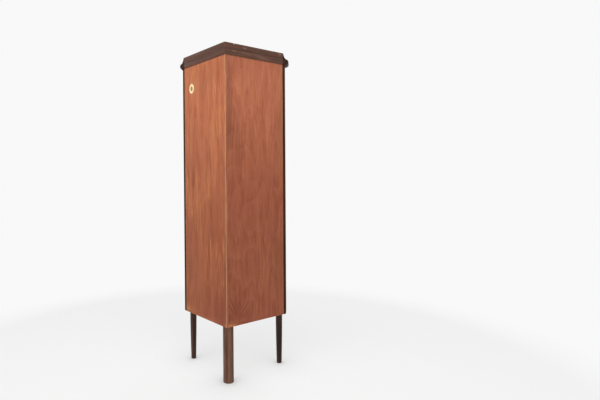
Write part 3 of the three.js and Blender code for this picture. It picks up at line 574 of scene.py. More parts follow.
def dark_wood(name, along, across, seed, deep, warm, wear=0.42, polish=0.12, bloom_and_sheen=0.0, marks=()):
    material, surface, place = start_material(name, 0.42, specular=polish)
    board = on_board(place, along, across)
    fibre = fibres(board, 0.012, 0.4, seed)
    colour = layered(mixed(fibre["Streak"], deep, warm), (fibre["Pores"], 0.6, deep))
    shade = mixed(fibre["Fibre"], (0.82, 0.82, 0.82, 1.0), (1.18, 1.16, 1.14, 1.0))
    colour = mixed(FIBRE_CONTRAST, colour, shade, "MULTIPLY")
    blotch = noise(board, (30.0, 30.0, 7.0), detail=5.0, roughness=0.6, seed=seed)
    # Pale blotches: bloom on the rear leg, and bloom with painted sheen on the cornice bands.
    colour = layered(colour, (between(blotch, 0.45, 0.75), bloom_and_sheen, PALE_BLOOM_AND_SHEEN),
                     (worn(place, 3.0 * MM, wear, seed), 0.7, STAIN_WORN))
    colour = scuffed(place, along, colour, marks, seed)
    dust = use_group(settled_dust, place, Amount=0.24)["Mask"]
    rough = sum_of("MULTIPLY_ADD", dust, 0.9, onto(fibre["Streak"], 0.44, 0.32))
    fill(surface, Base_Color=mixed(dust, colour, DUST), Roughness=rough)
    raise_fibres(surface, fibre, 0.2 * MM)
    return material


RUSTY = (STAIN_RUST_BLACK, STAIN_RUST)
band_chips = [
    (0.06, 1.797, (0.012, 0.012, 0.006), DUST, 0.6),
    (0.13, 1.785, (0.025, 0.02, 0.008), PALE_BLOOM_AND_SHEEN, 0.5),
    (0.385, 1.79, (0.02, 0.02, 0.012), PALE_BLOOM_AND_SHEEN, 0.5),
    (0.06, 1.76, (0.03, 0.03, 0.006), PALE_BLOOM_AND_SHEEN, 0.4)]
dark_upright = dark_wood("dark_wood_upright", UP, ACROSS_X, 1.0, *RUSTY, polish=0.06)
dark_sideways = dark_wood("dark_wood_sideways", ACROSS_X, UP, 2.0, *RUSTY, polish=0.06)
dark_post = dark_wood("dark_wood_post", UP, ACROSS_X, 12.0, *RUSTY, polish=0.02)
dark_front_leg = dark_wood("dark_wood_front_leg", UP, ACROSS_X, 8.0, STAIN_BLACK, STAIN_SHADE)
dark_rear_leg = dark_wood("dark_wood_rear_leg", UP, ACROSS_X, 9.0, STAIN_BROWN, STAIN_LIGHT, bloom_and_sheen=0.3)
dark_forward = dark_wood("dark_wood_forward", ACROSS_Y, UP, 3.0, STAIN_BLACK, STAIN_BROWN, 0.35, 0.02)
# The bands' pale blotches are partly painted sheen, more of it on the left wall's band.
dark_wall_right = dark_wood("dark_wood_wall_right", WALL_RIGHT, UP, 5.0, STAIN_BROWN, STAIN_WARM, 0.5,
                            bloom_and_sheen=0.15)
dark_wall_left = dark_wood("dark_wood_wall_left", WALL_LEFT, UP, 6.0, STAIN_BROWN, STAIN_WARM, 0.52,
                           bloom_and_sheen=0.32, marks=band_chips)
print("dark wood in", len([m for m in bpy.data.materials if m.name.startswith("dark_wood")]), "kinds")

# %% [markdown]
# ## The wood inside
#
# The floor, the ceiling and the post in the corner are plain wood with a thin brown stain.

# %% Materials: inner wood
INNER_DEEP, INNER_WARM = paint(120, 74, 50), paint(158, 104, 70)


def inner_wood(name, along, across, seed):
    material, surface, place = start_material(name, 0.55)
    board = on_board(place, along, across)
    fibre = fibres(board, 0.02, 0.5, seed)
    figure = use_group(arched_figure, board, Width=0.1, Height=0.9, Rings=12.0, Seed=seed)
    colour = layered(mixed(fibre["Streak"], INNER_DEEP, INNER_WARM),
                     (figure["Rings"], 0.35, INNER_DEEP), (fibre["Pores"], 0.5, INNER_DEEP))
    dust = use_group(settled_dust, place, Amount=0.2)["Mask"]
    fill(surface, Base_Color=mixed(dust, colour, DUST))
    raise_fibres(surface, fibre, 0.2 * MM)
    return material


inner_upright = inner_wood("inner_wood_upright", UP, ACROSS_X, 1.5)
inner_sideways = inner_wood("inner_wood_sideways", ACROSS_X, ACROSS_Y, 2.5)

# %% [markdown]
# ## Glass, brass, steel and the label
#
# The glass is a solid with a little green in it and finger marks that only roughen it. For shadows and for
# light that goes from wood to wood it is simply clear, so that the inside of the cabinet is lit as well as it
# would be. Brass and steel are bare metals with tarnish, and the small oval label is cream paper with a
# darker field and nothing on it.

# %% Materials: glass and metals
def blended(share, first, second):
    """Ends a material in a mix of two shaders."""
    blend = node_of("ShaderNodeMixShader", Fac=share)
    feed(blend.inputs[1], first)
    feed(blend.inputs[2], second)
    feed(tree_of(first).nodes["Material Output"].inputs["Surface"], blend.outputs["Shader"])


glass, surface, place = start_material("clear_glass", 0.02)
surface.inputs["Base Color"].default_value = paint(243, 250, 247)
surface.inputs["Transmission Weight"].default_value = 1.0
surface.inputs["IOR"].default_value = 1.5
smudge = noise(place, scale=9.0, detail=6.0, roughness=0.6, distortion=0.6)
fill(surface, Roughness=times(between(smudge, 0.58, 0.85), 0.025))
rays = node_of("ShaderNodeLightPath", tree=tree_of(place)).outputs
lets_light_by = sum_of("MAXIMUM", rays["Is Shadow Ray"], rays["Is Diffuse Ray"])
clear = node_of("ShaderNodeBsdfTransparent", tree=tree_of(place), Color=paint(240, 249, 245))
blended(lets_light_by, surface.outputs["BSDF"], clear.outputs["BSDF"])


def metal(name, bright, dull, roughness, seed):
    material, surface, place = start_material(name, roughness, metallic=1.0)
    clouds = noise(place, scale=60.0, detail=6.0, roughness=0.65, seed=seed)
    scratches = noise(place, (2600.0, 2600.0, 180.0), seed=seed)
    tarnish = between(clouds, 0.4, 0.68)
    colour = layered(bright, (tarnish, 0.75, dull))
    rubbed = worn(place, 0.8 * MM, 0.7, seed)
    fill(surface, Base_Color=mixed(rubbed, colour, bright),
         Roughness=sum_of("MULTIPLY_ADD", tarnish, 0.22, roughness))
    raise_surface(surface, scratches, 0.01 * MM)
    return material


brass = metal("aged_brass", paint(214, 178, 110), paint(140, 106, 58), 0.24, 1.0)
steel = metal("dull_steel", paint(196, 194, 188), paint(122, 116, 108), 0.3, 2.0)

# %% Material: label paper
LABEL_CREAM, LABEL_FIELD = paint(246, 222, 176), paint(148, 118, 74)
label_low, label_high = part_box("blank_label")
label_middle = (label_low + label_high) / 2
label_height = label_high.z - label_low.z
label_width = (Vector(label_high[:2]) - Vector(label_low[:2])).length
label_paper, surface, place = start_material("label_paper", 0.7)
label_place = vector_sum("SUBTRACT", place, label_middle)
label_scale = (2.0 / label_width, 0.0, 2.0 / label_height)
in_oval = vector_sum("MULTIPLY", on_board(label_place, UP, WALL_RIGHT), label_scale)
oval = vector_sum("LENGTH", in_oval)
field = between(oval, 0.56, 0.5)
hairline = times(between(oval, 0.86, 0.88), between(oval, 0.92, 0.9))
printed = sum_of("MAXIMUM", field, times(hairline, 0.6))
age = noise(place, scale=70.0, detail=6.0, roughness=0.65)
label_colour = layered(mixed(printed, LABEL_CREAM, LABEL_FIELD), (between(age, 0.5, 0.75), 0.35, PLY_LIGHT))
fill(surface, Base_Color=label_colour)
raise_surface(surface, age, 0.1 * MM)

# %% [markdown]
# ## Pieces from the solids, with eased edges
#
# No maker leaves a razor edge on a board, because it splinters and will not hold polish. The solid's mesh is
# copied, its loose triangles are merged and its flat faces joined, and then the long edges are bevelled by
# about a millimetre. Edges inside the joints stay sharp, since nobody sees them. Weighted normals keep a big
# flat face flat beside its bevels, which shows most in the glass, where a leaning normal bends the view.

# %% Piece helpers
SHARP = math.radians(32.0)
FLAT = math.radians(0.5)


def add_object(name, data):
    made = bpy.data.objects.new(name, data)
    bpy.context.scene.collection.objects.link(made)
    return made


def mesh_of(form, name):
    """Turns a bmesh into a mesh, which uses the bmesh up."""
    mesh = bpy.data.meshes.new(name)
    form.to_mesh(mesh)
    form.free()
    return mesh


def finish_piece(form, name, body, slot, material, stands_for=()):
    """A piece on a body from a bmesh, with the given material; it hides the solids. The slot is not used."""
    mesh = mesh_of(form, name)
    mesh.materials.append(material)
    mesh.shade_smooth()
    mesh.set_sharp_from_angle(angle=SHARP)
    made = add_object(name, mesh)
    made.modifiers.new("flat_faces_stay_flat", "WEIGHTED_NORMAL").keep_sharp = True
    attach(made, body)
    if stands_for:
        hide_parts(*stands_for)
    return made


def join_flat_faces(form):
    bmesh.ops.dissolve_limit(form, angle_limit=FLAT, verts=form.verts, edges=form.edges, delimit=set())


def long_edges(form, shortest=0.0):
    """The sharp outward edges that are at least as long as shortest."""
    return [edge for edge in form.edges if edge.is_manifold and edge.calc_length() >= shortest
            and edge.calc_face_angle_signed(0.0) > SHARP]


def ease(form, edges, width, segments=3):
    bmesh.ops.bevel(form, geom=edges, offset=width, offset_type="OFFSET", segments=segments, profile=0.5,
                    affect="EDGES", material=-1, clamp_overlap=False)


def eased_board(name, slot, material, width=1.0, shortest=60.0, body="carcass"):
    """A piece from the solid's mesh, with the edges from shortest up eased by width, both in millimetres."""
    form = bmesh.new()
    form.from_mesh(frame["nodes"][name].data)
    bmesh.ops.remove_doubles(form, verts=form.verts, dist=0.01 * MM)
    join_flat_faces(form)
    ease(form, long_edges(form, shortest * MM), width * MM)
    made = finish_piece(form, name + "_eased", body, slot, material, [name])
    print(name, len(made.data.polygons), "faces")
    return made


def everything(form):
    return list(form.verts) + list(form.edges) + list(form.faces)


def verts_in(geometry):
    return [part for part in geometry if isinstance(part, bmesh.types.BMVert)]


def pull(form, faces, way):
    """Extrudes faces by a vector."""
    moved = bmesh.ops.extrude_face_region(form, geom=list(faces))["geom"]
    bmesh.ops.translate(form, verts=verts_in(moved), vec=way)


# %% Panels
for side, wall, finish in (("right", WALL_RIGHT, veneer_straight), ("left", WALL_LEFT, veneer_arched)):
    panel = eased_board(f"back_panel_{side}", "panel_ply", finish, 0.8, 5.0)
    panel.data.materials.append(ply_edge)
    for face in panel.data.polygons:
        if abs(face.normal.dot(wall)) > 0.9 or abs(face.normal.z) > 0.9:
            face.material_index = 1

# %% Posts, boards, rails and glass
BOARDS = [
    (("side_post_right", "side_post_left"), "dark_wood", dark_post, 1.2, 20.0),
    (("corner_post",), "inner_wood", inner_upright, 1.2),
    (("door_stop_strip",), "inner_wood", inner_upright, 1.0),
    (("bottom_board", "ceiling_board"), "inner_wood", inner_sideways, 0.8, 120.0),
    (("front_rail_bottom", "front_rail_top"), "dark_wood", dark_sideways, 1.0, 120.0),
    (("cornice_band_right",), "dark_wood", dark_wall_right, 1.0, 10.0),
    (("cornice_band_left",), "dark_wood", dark_wall_left, 1.0, 10.0),
    (("cornice_top_board",), "dark_wood", dark_sideways, 0.8),
    (("door_stile_hinge", "door_stile_lock"), "dark_wood", dark_upright, 1.2, 30.0, "door"),
    (("door_rail_top",), "dark_wood", dark_sideways, 1.0, 120.0, "door"),
    (("glazing_bead_top",), "dark_wood", dark_sideways, 0.6, 60.0, "door"),
    (("door_rail_bottom",), "dark_wood", dark_sideways, 1.0, 120.0, "door"),
    (("glazing_bead_bottom",), "dark_wood", dark_sideways, 0.6, 60.0, "door"),
    (("glazing_bead_right", "glazing_bead_left"), "dark_wood", dark_upright, 0.6, 60.0, "door"),
    (("shelf_low", "shelf_middle", "shelf_high"), "clear_glass", glass, 0.7, 10.0),
    (("door_glass",), "clear_glass", glass, 0.4, 60.0, "door")]
for names, *rest in BOARDS:
    for name in names:
        eased_board(name, *rest)

# %% [markdown]
# ## Turned legs
#
# The legs are turned on a lathe, so they are spun here: a profile of a few points goes once round the leg's
# axis. The rear leg is a thick straight round, and the two front legs swell from a slim foot.

# %% Legs
LEG_STEPS = 96
FOOT_EDGE = 1.5 * MM
SPIGOT_RADIUS, SPIGOT_REACH = 10.0 * MM, 17.0 * MM
JOINT_GAP = 0.3 * MM


def spin_round(form, axis_point, axis, steps):
    """Spins everything in the bmesh once round an axis, closes the poles and turns the faces outwards."""
    bmesh.ops.spin(form, geom=list(form.verts) + list(form.edges), cent=axis_point, axis=axis,
                   angle=2.0 * math.pi, steps=steps, use_merge=True)
    bmesh.ops.remove_doubles(form, verts=form.verts, dist=0.005 * MM)
    bmesh.ops.recalc_face_normals(form, faces=form.faces)


def add_form(form, other):
    """Adds one bmesh to another and uses the first up."""
    scratch = mesh_of(other, "scratch")
    form.from_mesh(scratch)
    bpy.data.meshes.remove(scratch)


def spun(form, profile, axis_point, axis, side, steps):
    """Adds a turned shape from points of radius and height along the axis. Radius starts towards side."""
    line = bmesh.new()
    points = [line.verts.new(axis_point + side * radius + axis * height) for radius, height in profile]
    for first, second in zip(points, points[1:]):
        line.edges.new((first, second))
    spin_round(line, axis_point, axis, steps)
    add_form(form, line)


def turned_piece(profile, axis_point, axis, side, steps, *finish):
    form = bmesh.new()
    spun(form, profile, axis_point, axis, side, steps)
    return finish_piece(form, *finish)


def in_metres(profile):
    return [(radius * MM, height * MM) for radius, height in profile]


def leg_profile(top_radius, foot_radius, length, steps):
    """Half the leg's outline: an eased foot, a side that swells like a sine curve, and the spigot on top."""
    profile = [(0.0, 0.0), (foot_radius - FOOT_EDGE, 0.0), (foot_radius - 0.4 * FOOT_EDGE, 0.25 * FOOT_EDGE)]
    for step in range(steps + 1):
        share = step / steps
        radius = foot_radius + (top_radius - foot_radius) * math.sin(share * math.pi / 2)
        profile.append((radius, FOOT_EDGE + (length - FOOT_EDGE) * share))
    spigot_top = length + SPIGOT_REACH
    return profile + [(SPIGOT_RADIUS, length), (SPIGOT_RADIUS, spigot_top), (0.0, spigot_top)]


for name, top_radius, foot_radius, steps, stain in (("rear_leg", 28.3, 28.3, 1, dark_rear_leg),
                                                    ("front_leg_right", 19.0, 14.5, 24, dark_front_leg),
                                                    ("front_leg_left", 19.0, 14.5, 24, dark_front_leg)):
    low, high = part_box(name)
    middle = Vector(((low.x + high.x) / 2, (low.y + high.y) / 2, 0.0))
    profile = leg_profile(top_radius * MM, foot_radius * MM, body_bottom - JOINT_GAP, steps)
    turned_piece(profile, middle, UP, ACROSS_X, LEG_STEPS, name + "_turned", "carcass", "dark_wood", stain,
                 [name])
    print(name, "at", tuple(round(c, 4) for c in middle))

# %% [markdown]
# ## Cornice mouldings
#
# The moulding is one profile run along the front and both sides: a round nose, then a shallow hollow up to
# the top edge. The nose is a vertex spun through half a turn, and the hollow is a spline. Each length is
# extruded and then cut by planes at its mitres.

# %% Moulding profile
MOULDING_BACK, MOULDING_SETBACK = 10.0 * MM, 8.0 * MM
CORNICE_HEIGHT = 63.0 * MM
FILLET_OUT = 10.5 * MM
NOSE_RADIUS, NOSE_CENTRE, NOSE_LOW = 14.0 * MM, 7.5 * MM, 4.0 * MM
HOLLOW_PULL = (-0.5 * MM, 36.5 * MM)
HOLLOW_REACH = (-4.7 * MM, 47.0 * MM)


def moulding_section(form, start, outwards):
    """The rim of the moulding's section: a fillet, a nose spun through half a turn, and a hollow."""
    def point(out, up):
        return start + outwards * out + UP * up
    rim = [form.verts.new(point(out, up)) for out, up in (
        (-MOULDING_BACK, CORNICE_HEIGHT), (-MOULDING_BACK, JOINT_GAP), (FILLET_OUT, JOINT_GAP),
        (FILLET_OUT, NOSE_LOW))]
    nose_foot = form.verts.new(point(NOSE_CENTRE, NOSE_LOW))
    centre = point(NOSE_CENTRE, NOSE_LOW + NOSE_RADIUS)
    bmesh.ops.spin(form, geom=[nose_foot], cent=centre, axis=UP.cross(outwards), angle=-math.pi, steps=28)
    rim += sorted((v for v in form.verts if v not in rim), key=lambda v: v.co.z)
    nose_top, lip = (NOSE_CENTRE, NOSE_LOW + 2.0 * NOSE_RADIUS), (-MOULDING_SETBACK, CORNICE_HEIGHT)
    knots = [Vector(place) for place in (nose_top, HOLLOW_PULL, HOLLOW_REACH, lip)]
    return rim + [form.verts.new(point(*place)) for place in interpolate_bezier(*knots, 16)[1:]]


def moulding_run(start, run, outwards, name, cuts, material):
    """A length of moulding from start along run, cut by planes that are given as a point and a normal."""
    form = bmesh.new()
    pull(form, [form.faces.new(moulding_section(form, start, outwards))], run)
    for point, normal in cuts:
        cut = bmesh.ops.bisect_plane(form, geom=everything(form), plane_co=point, plane_no=normal,
                                     clear_outer=True)["geom_cut"]
        rim = [part for part in cut if isinstance(part, bmesh.types.BMEdge)]
        bmesh.ops.holes_fill(form, edges=rim, sides=0)
    bmesh.ops.recalc_face_normals(form, faces=form.faces)
    finish_piece(form, name + "_run", "carcass", "dark_wood", material, [name])


# %% Mouldings on the front and the sides
BAND_PROUD = 2.5 * MM
SPARE = 60.0 * MM
half_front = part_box("side_post_right")[1].x
front_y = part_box("front_rail_top")[0].y
front_corner = {side: Vector((side * half_front, front_y, body_top)) for side in (1, -1)}
mitre = {side: Vector((side, 1.0, 0.0)).normalized() for side in (1, -1)}
front_cuts = [(front_corner[side] - mitre[side] * JOINT_GAP / 2, mitre[side]) for side in (1, -1)]
moulding_run(front_corner[-1] - ACROSS_X * SPARE, ACROSS_X * 2 * (half_front + SPARE), -ACROSS_Y,
             "cornice_moulding_front", front_cuts, dark_sideways)
for side, name, wall in ((1, "right", WALL_RIGHT), (-1, "left", WALL_LEFT)):
    side_cuts = [(front_corner[side] + mitre[side] * JOINT_GAP / 2, -mitre[side]),
                 (on_wall(wall, 0.0, BAND_PROUD, body_top), outwards_of(wall))]
    moulding_run(front_corner[side] - ACROSS_Y * SPARE, ACROSS_Y * (corner_y - front_y + SPARE),
                 ACROSS_X * side, f"cornice_moulding_{name}", side_cuts, dark_forward)
print("cornice mouldings run at", round(body_top, 4))

# %% [markdown]
# ## Shelf pins
#
# Each glass shelf rests on three brass pins, one in each post. A pin is a shank with a collar that stops it
# at the wood, turned in one piece.

# %% Shelf pins
PIN_STEPS = 32
LEVELS = ("low", "middle", "high")
PIN_PROFILE = in_metres([(0.0, 0.0), (2.6, 0.0), (3.0, 0.4), (3.0, 9.3), (4.3, 9.3), (4.5, 9.5), (4.5, 10.3),
                         (4.3, 10.5), (3.0, 10.5), (3.0, 19.3), (2.4, 20.0), (0.0, 20.0)])
PIN_WAYS = {"rear": -ACROSS_Y, "right": -ACROSS_X, "left": ACROSS_X}
for level in LEVELS:
    for end, way in PIN_WAYS.items():
        name = f"shelf_pin_{level}_{end}"
        low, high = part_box(name)
        reach = abs((high - low).dot(way))
        turned_piece(PIN_PROFILE, (low + high) / 2 - way * (reach / 2), way, UP, PIN_STEPS, name + "_turned",
                     "carcass", "brass", brass, [name])
print("shelf pins", len(LEVELS) * len(PIN_WAYS))

# %% [markdown]
# ## The label
#
# The label is a thin oval of card glued to the panel. It is a circle that is stretched, extruded by its
# thickness and laid on the wall, with its rim eased.

# %% Label
CARD = 0.6 * MM
form = bmesh.new()
bmesh.ops.create_circle(form, cap_ends=True, segments=72, radius=1.0)
pull(form, form.faces, UP)
bmesh.ops.scale(form, verts=form.verts, vec=(label_width / 2, label_height / 2, CARD))
laid_on_wall = Matrix((WALL_RIGHT, UP, outwards_of(WALL_RIGHT))).transposed().to_4x4()
bmesh.ops.transform(form, verts=form.verts, matrix=laid_on_wall)
label_run = (Vector(label_middle[:2]) - Vector((0.0, corner_y))).length
bmesh.ops.translate(form, verts=form.verts, vec=on_wall(WALL_RIGHT, label_run, 0.0, label_middle.z))
bmesh.ops.recalc_face_normals(form, faces=form.faces)
ease(form, long_edges(form), 0.2 * MM, 2)
finish_piece(form, "blank_label_card", "carcass", "label_paper", label_paper, ["blank_label"])
print("label", round(label_width, 4), round(label_height, 4), "run", round(label_run, 4))

# %% [markdown]
# ## Screws
#
# A countersunk screw is a disc with a cone under it. The slot is the strip between two cuts across the disc,
# sunk into it. Every screw stops at another angle, as real ones do.

# %% Screws
SLOT_HALF, SLOT_DEEP, CONE_DEEP, CONE_FOOT = 0.14, 0.3, 0.7, 0.45


def slotted_screw(name, body, slot, material, place, outwards, angle, radius, stands_for=()):
    """A countersunk screw head at a place. Its slot's and cone's sizes are shares of its radius."""
    form = bmesh.new()
    bmesh.ops.create_circle(form, cap_ends=True, segments=32, radius=radius)
    for side in (1.0, -1.0):
        bmesh.ops.bisect_plane(form, geom=everything(form), plane_co=(0.0, side * SLOT_HALF * radius, 0.0),
                               plane_no=ACROSS_Y)
    strip = min(form.faces, key=lambda face: abs(face.calc_center_median().y))
    rim = [edge for edge in form.edges if edge.is_boundary]
    foot = verts_in(bmesh.ops.extrude_edge_only(form, edges=rim)["geom"])
    bmesh.ops.scale(form, verts=foot, vec=(CONE_FOOT, CONE_FOOT, 1.0))
    bmesh.ops.translate(form, verts=foot, vec=UP * -CONE_DEEP * radius)
    bmesh.ops.holes_fill(form, edges=[edge for edge in form.edges if edge.is_boundary], sides=0)
    pull(form, [strip], UP * -SLOT_DEEP * radius)
    bmesh.ops.recalc_face_normals(form, faces=form.faces)
    facing = outwards.to_track_quat("Z", "Y").to_matrix() @ Matrix.Rotation(math.radians(angle), 3, "Z")
    bmesh.ops.transform(form, verts=form.verts, matrix=Matrix.Translation(place) @ facing.to_4x4())
    finish_piece(form, name, body, slot, material, stands_for)


# %% [markdown]
# ## Hinges
#
# A butt hinge is two leaves let into the post and the door, with knuckles that share one pin. The carcass's
# leaf has the outer two knuckles and the door's leaf the middle one. Plates are eased boxes, and a knuckle is
# a short tube, spun round the pin.

# %% Hinges
LEAF = 1.5 * MM
KNUCKLE_RADIUS, KNUCKLE_EDGE, BORE_RADIUS = 3.5 * MM, 0.3 * MM, 1.7 * MM
KNUCKLE_GAP = 0.15 * MM
KNUCKLE_STEPS = 40
SCREW_RADIUS, SCREW_STAGGER, SCREW_PROUD = 2.6 * MM, 2.4 * MM, 0.05 * MM
PIN_HEAD = in_metres([(0.0, 0.0), (1.9, 0.0), (2.3, 0.3), (2.4, 0.8), (2.4, 1.3), (2.2, 1.5), (1.6, 1.5)])


def box_between(form, low, high):
    """Adds a box between two opposite corners."""
    verts = bmesh.ops.create_cube(form, size=1.0)["verts"]
    bmesh.ops.scale(form, verts=verts, vec=high - low)
    bmesh.ops.translate(form, verts=verts, vec=(low + high) / 2)


def hinge_leaf(name, body, face, way, thirds, level_low, level_high, pivot, back_y):
    """One leaf: face is the X of its open side, way the side its metal is on, thirds its knuckles."""
    form = bmesh.new()
    near, far = sorted((face, face + way * LEAF))
    third = (level_high - level_low) / 3
    box_between(form, Vector((near, front_y, level_low)), Vector((far, back_y, level_high)))
    ease(form, long_edges(form), 0.25 * MM, 2)
    for number in thirds:
        start = level_low + third * number + KNUCKLE_GAP
        stop = start + third - 2.0 * KNUCKLE_GAP
        box_between(form, Vector((near, pivot.y, start)), Vector((far, front_y + MM, stop)))
        inner = KNUCKLE_RADIUS - KNUCKLE_EDGE
        tube = [(BORE_RADIUS, start), (inner, start), (KNUCKLE_RADIUS, start + KNUCKLE_EDGE),
                (KNUCKLE_RADIUS, stop - KNUCKLE_EDGE), (inner, stop), (BORE_RADIUS, stop)]
        spun(form, tube + tube[:1], Vector((pivot.x, pivot.y, 0.0)), UP, ACROSS_X, KNUCKLE_STEPS)
    finish_piece(form, name + "_made", body, "brass", brass, [name])
    for number in range(3):
        stagger = (number - 1) ** 2 * SCREW_STAGGER
        place = Vector((face + way * SCREW_PROUD, (front_y + back_y) / 2 + stagger,
                        level_low + third * (number + 0.5)))
        angle = 40.0 + 67.0 * number + 25.0 * len(thirds)
        slotted_screw(f"{name}_screw_{number + 1}", body, "brass", brass, place, -ACROSS_X * way, angle,
                      SCREW_RADIUS)


post_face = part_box("side_post_left")[1].x
door_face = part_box("door_stile_hinge")[0].x
for level in LEVELS:
    low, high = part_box(f"hinge_{level}_post_leaf")
    pin_low, pin_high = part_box(f"hinge_{level}_pin")
    pivot = (pin_low + pin_high) / 2
    span = (low.z, high.z, pivot, high.y)
    hinge_leaf(f"hinge_{level}_post_leaf", "carcass", post_face, -1.0, (0, 2), *span)
    hinge_leaf(f"hinge_{level}_door_leaf", "door", door_face, 1.0, (1,), *span)
    pin_length = pin_high.z - pin_low.z
    pin_line = PIN_HEAD + [(1.6 * MM, pin_length - 0.4 * MM), (1.2 * MM, pin_length), (0.0, pin_length)]
    turned_piece(pin_line, Vector((pivot.x, pivot.y, pin_low.z)), UP, ACROSS_X, KNUCKLE_STEPS,
                 f"hinge_{level}_pin_turned", "carcass", "steel", steel, [f"hinge_{level}_pin"])

# %% [markdown]
# ## Escutcheon and its pins
#
# The escutcheon is the oval brass plate round the keyhole. Its outline and the keyhole's are two loops of
# edges that triangle_fill joins into one face, and an extrusion gives it thickness. The keyhole itself starts
# as a circle, whose lowest edges are pulled down into the slot for the key's bit. Two points in the middle of
# the slot's foot then lie in line with their neighbours, so they are dissolved.

# %% Escutcheon
KEYHOLE_RADIUS = 2.8 * MM
KEYHOLE_TURN = 7.5
KEYHOLE_FOOT = -8.2 * MM
DOME_STEPS = 24
PIN_DOME = in_metres([(0.0, -1.0), (1.1, -1.0), (1.1, 0.1), (0.95, 0.4), (0.6, 0.62), (0.0, 0.7)])
plate_low, plate_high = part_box("escutcheon")
plate_middle = (plate_low + plate_high) / 2
form = bmesh.new()
bmesh.ops.create_circle(form, cap_ends=False, segments=64, radius=1.0)
bmesh.ops.scale(form, verts=form.verts,
                vec=((plate_high.x - plate_low.x) / 2, (plate_high.z - plate_low.z) / 2, 1.0))
hole = bmesh.ops.create_circle(form, cap_ends=False, segments=24, radius=KEYHOLE_RADIUS,
                               matrix=Matrix.Rotation(math.radians(KEYHOLE_TURN), 4, "Z"))["verts"]
lowest = sorted(hole, key=lambda v: v.co.y)[:4]
for v in lowest:
    v.co.y = KEYHOLE_FOOT
bmesh.ops.dissolve_verts(form, verts=lowest[:2])
bmesh.ops.triangle_fill(form, use_beauty=True, use_dissolve=False, edges=form.edges)
pull(form, form.faces, (0.0, 0.0, plate_high.y - plate_low.y))
join_flat_faces(form)
bmesh.ops.recalc_face_normals(form, faces=form.faces)
ease(form, [edge for edge in long_edges(form) if all(v.co.z > MM for v in edge.verts)], 0.35 * MM)
on_stile = Matrix.Translation((plate_middle.x, plate_high.y, plate_middle.z))
bmesh.ops.transform(form, verts=form.verts, matrix=on_stile @ Matrix.Rotation(math.radians(90.0), 4, "X"))
bmesh.ops.triangulate(form, faces=[face for face in form.faces if len(face.verts) > 4])
finish_piece(form, "escutcheon_plate", "door", "brass", brass, ["escutcheon"])
for end, rise in (("high", 11.4), ("low", -11.9)):
    place = Vector((plate_middle.x, plate_low.y, plate_middle.z + rise * MM))
    turned_piece(PIN_DOME, place, -ACROSS_Y, UP, DOME_STEPS, f"escutcheon_pin_{end}", "door", "brass", brass)
print("escutcheon at", tuple(round(c, 4) for c in plate_middle))

# %% [markdown]
# ## The key
#
# The key is turned, bent and filed: a stem with a collar that meets the plate, a round bow to hold it by, and
# a bit with two notches that clear the lock's wards. It is the door's only handle, so its bow is worn bright.

# %% Key
STEM = in_metres([(0.0, 0.0), (1.9, 0.0), (2.4, 0.5), (2.4, 20.0), (3.3, 20.3), (3.8, 20.8), (3.8, 21.6),
                  (3.3, 22.2), (2.3, 22.4), (2.0, 23.2), (2.4, 24.4), (2.7, 25.2), (2.3, 26.4), (1.9, 27.6),
                  (0.0, 28.2)])
STEM_STEPS, BOW_STEPS = 32, 64
BOW_REACH, BOW_RADIUS = 9.0 * MM, 7.0 * MM
BIT_HALF, BIT_ROOT = 1.2, 1.5
BIT_STEPS = ((0.0, 1.4, 7.5), (1.4, 2.3, 4.6), (2.3, 3.4, 7.5), (3.4, 4.2, 5.4), (4.2, 5.0, 7.5))
key_low, key_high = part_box("key")
key_point = Vector((plate_middle.x, key_high.y, plate_middle.z))
form = bmesh.new()
spun(form, STEM, key_point, -ACROSS_Y, UP, STEM_STEPS)
bow_middle = Vector((key_point.x, key_low.y + BOW_REACH, key_point.z))
ring = bmesh.new()
bmesh.ops.create_circle(ring, cap_ends=False, segments=20, radius=MM)
bmesh.ops.scale(ring, verts=ring.verts, vec=(1.5, 2.0, 1.0))
bmesh.ops.translate(ring, verts=ring.verts, vec=bow_middle + ACROSS_Y * BOW_RADIUS)
spin_round(ring, bow_middle, ACROSS_X, BOW_STEPS)
add_form(form, ring)
for start, stop, reach in BIT_STEPS:
    box_between(form, key_point + Vector((-BIT_HALF, -stop, -reach)) * MM,
                key_point + Vector((BIT_HALF, -start, -BIT_ROOT)) * MM)
bmesh.ops.recalc_face_normals(form, faces=form.faces)
finish_piece(form, "key_turned", "key", "steel", steel, ["key"])
print("key", round((key_high.y - key_low.y) / MM, 1), "mm long")

# %% [markdown]
# ## The other screws
#
# Two steel screws hold the lock in the stile, and two of brass the strike plate on the post.

# %% Screws of the lock and the strike plate
STRIKE_INSET = 6.0 * MM
for end, angle in (("inner", 15.0), ("outer", 100.0)):
    low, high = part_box(f"lock_screw_{end}")
    head = Vector(((low.x + high.x) / 2, high.y + SCREW_PROUD, (low.z + high.z) / 2))
    slotted_screw(f"lock_screw_{end}_slotted", "door", "steel", steel, head, ACROSS_Y, angle, 2.0 * MM,
                  [f"lock_screw_{end}"])
low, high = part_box("strike_plate")
for end, level, angle in (("low", low.z + STRIKE_INSET, 70.0), ("high", high.z - STRIKE_INSET, 20.0)):
    head = Vector((low.x - SCREW_PROUD, (low.y + high.y) / 2, level))
    slotted_screw(f"strike_screw_{end}", "carcass", "brass", brass, head, -ACROSS_X, angle, 2.4 * MM)

# %% [markdown]
# ## What stays as it is
#
# The lock's case, its bolt, the strike plate and the bearer have their right shape in the model, so they only
# get a finish.

# %% Finishes for the solids that stay
slot_finish = {"panel_ply": veneer_straight, "dark_wood": dark_upright, "inner_wood": inner_upright,
               "clear_glass": glass, "brass": brass, "steel": steel, "label_paper": label_paper}
node_slots = {entry["node"]: entry["material_slot"] for entry in frame["record"]["subparts"]}
for name, solid in frame["nodes"].items():
    solid.data.materials.clear()
    solid.data.materials.append(slot_finish.get(node_slots.get(name), steel))
print("slots", sorted(set(node_slots.values())))

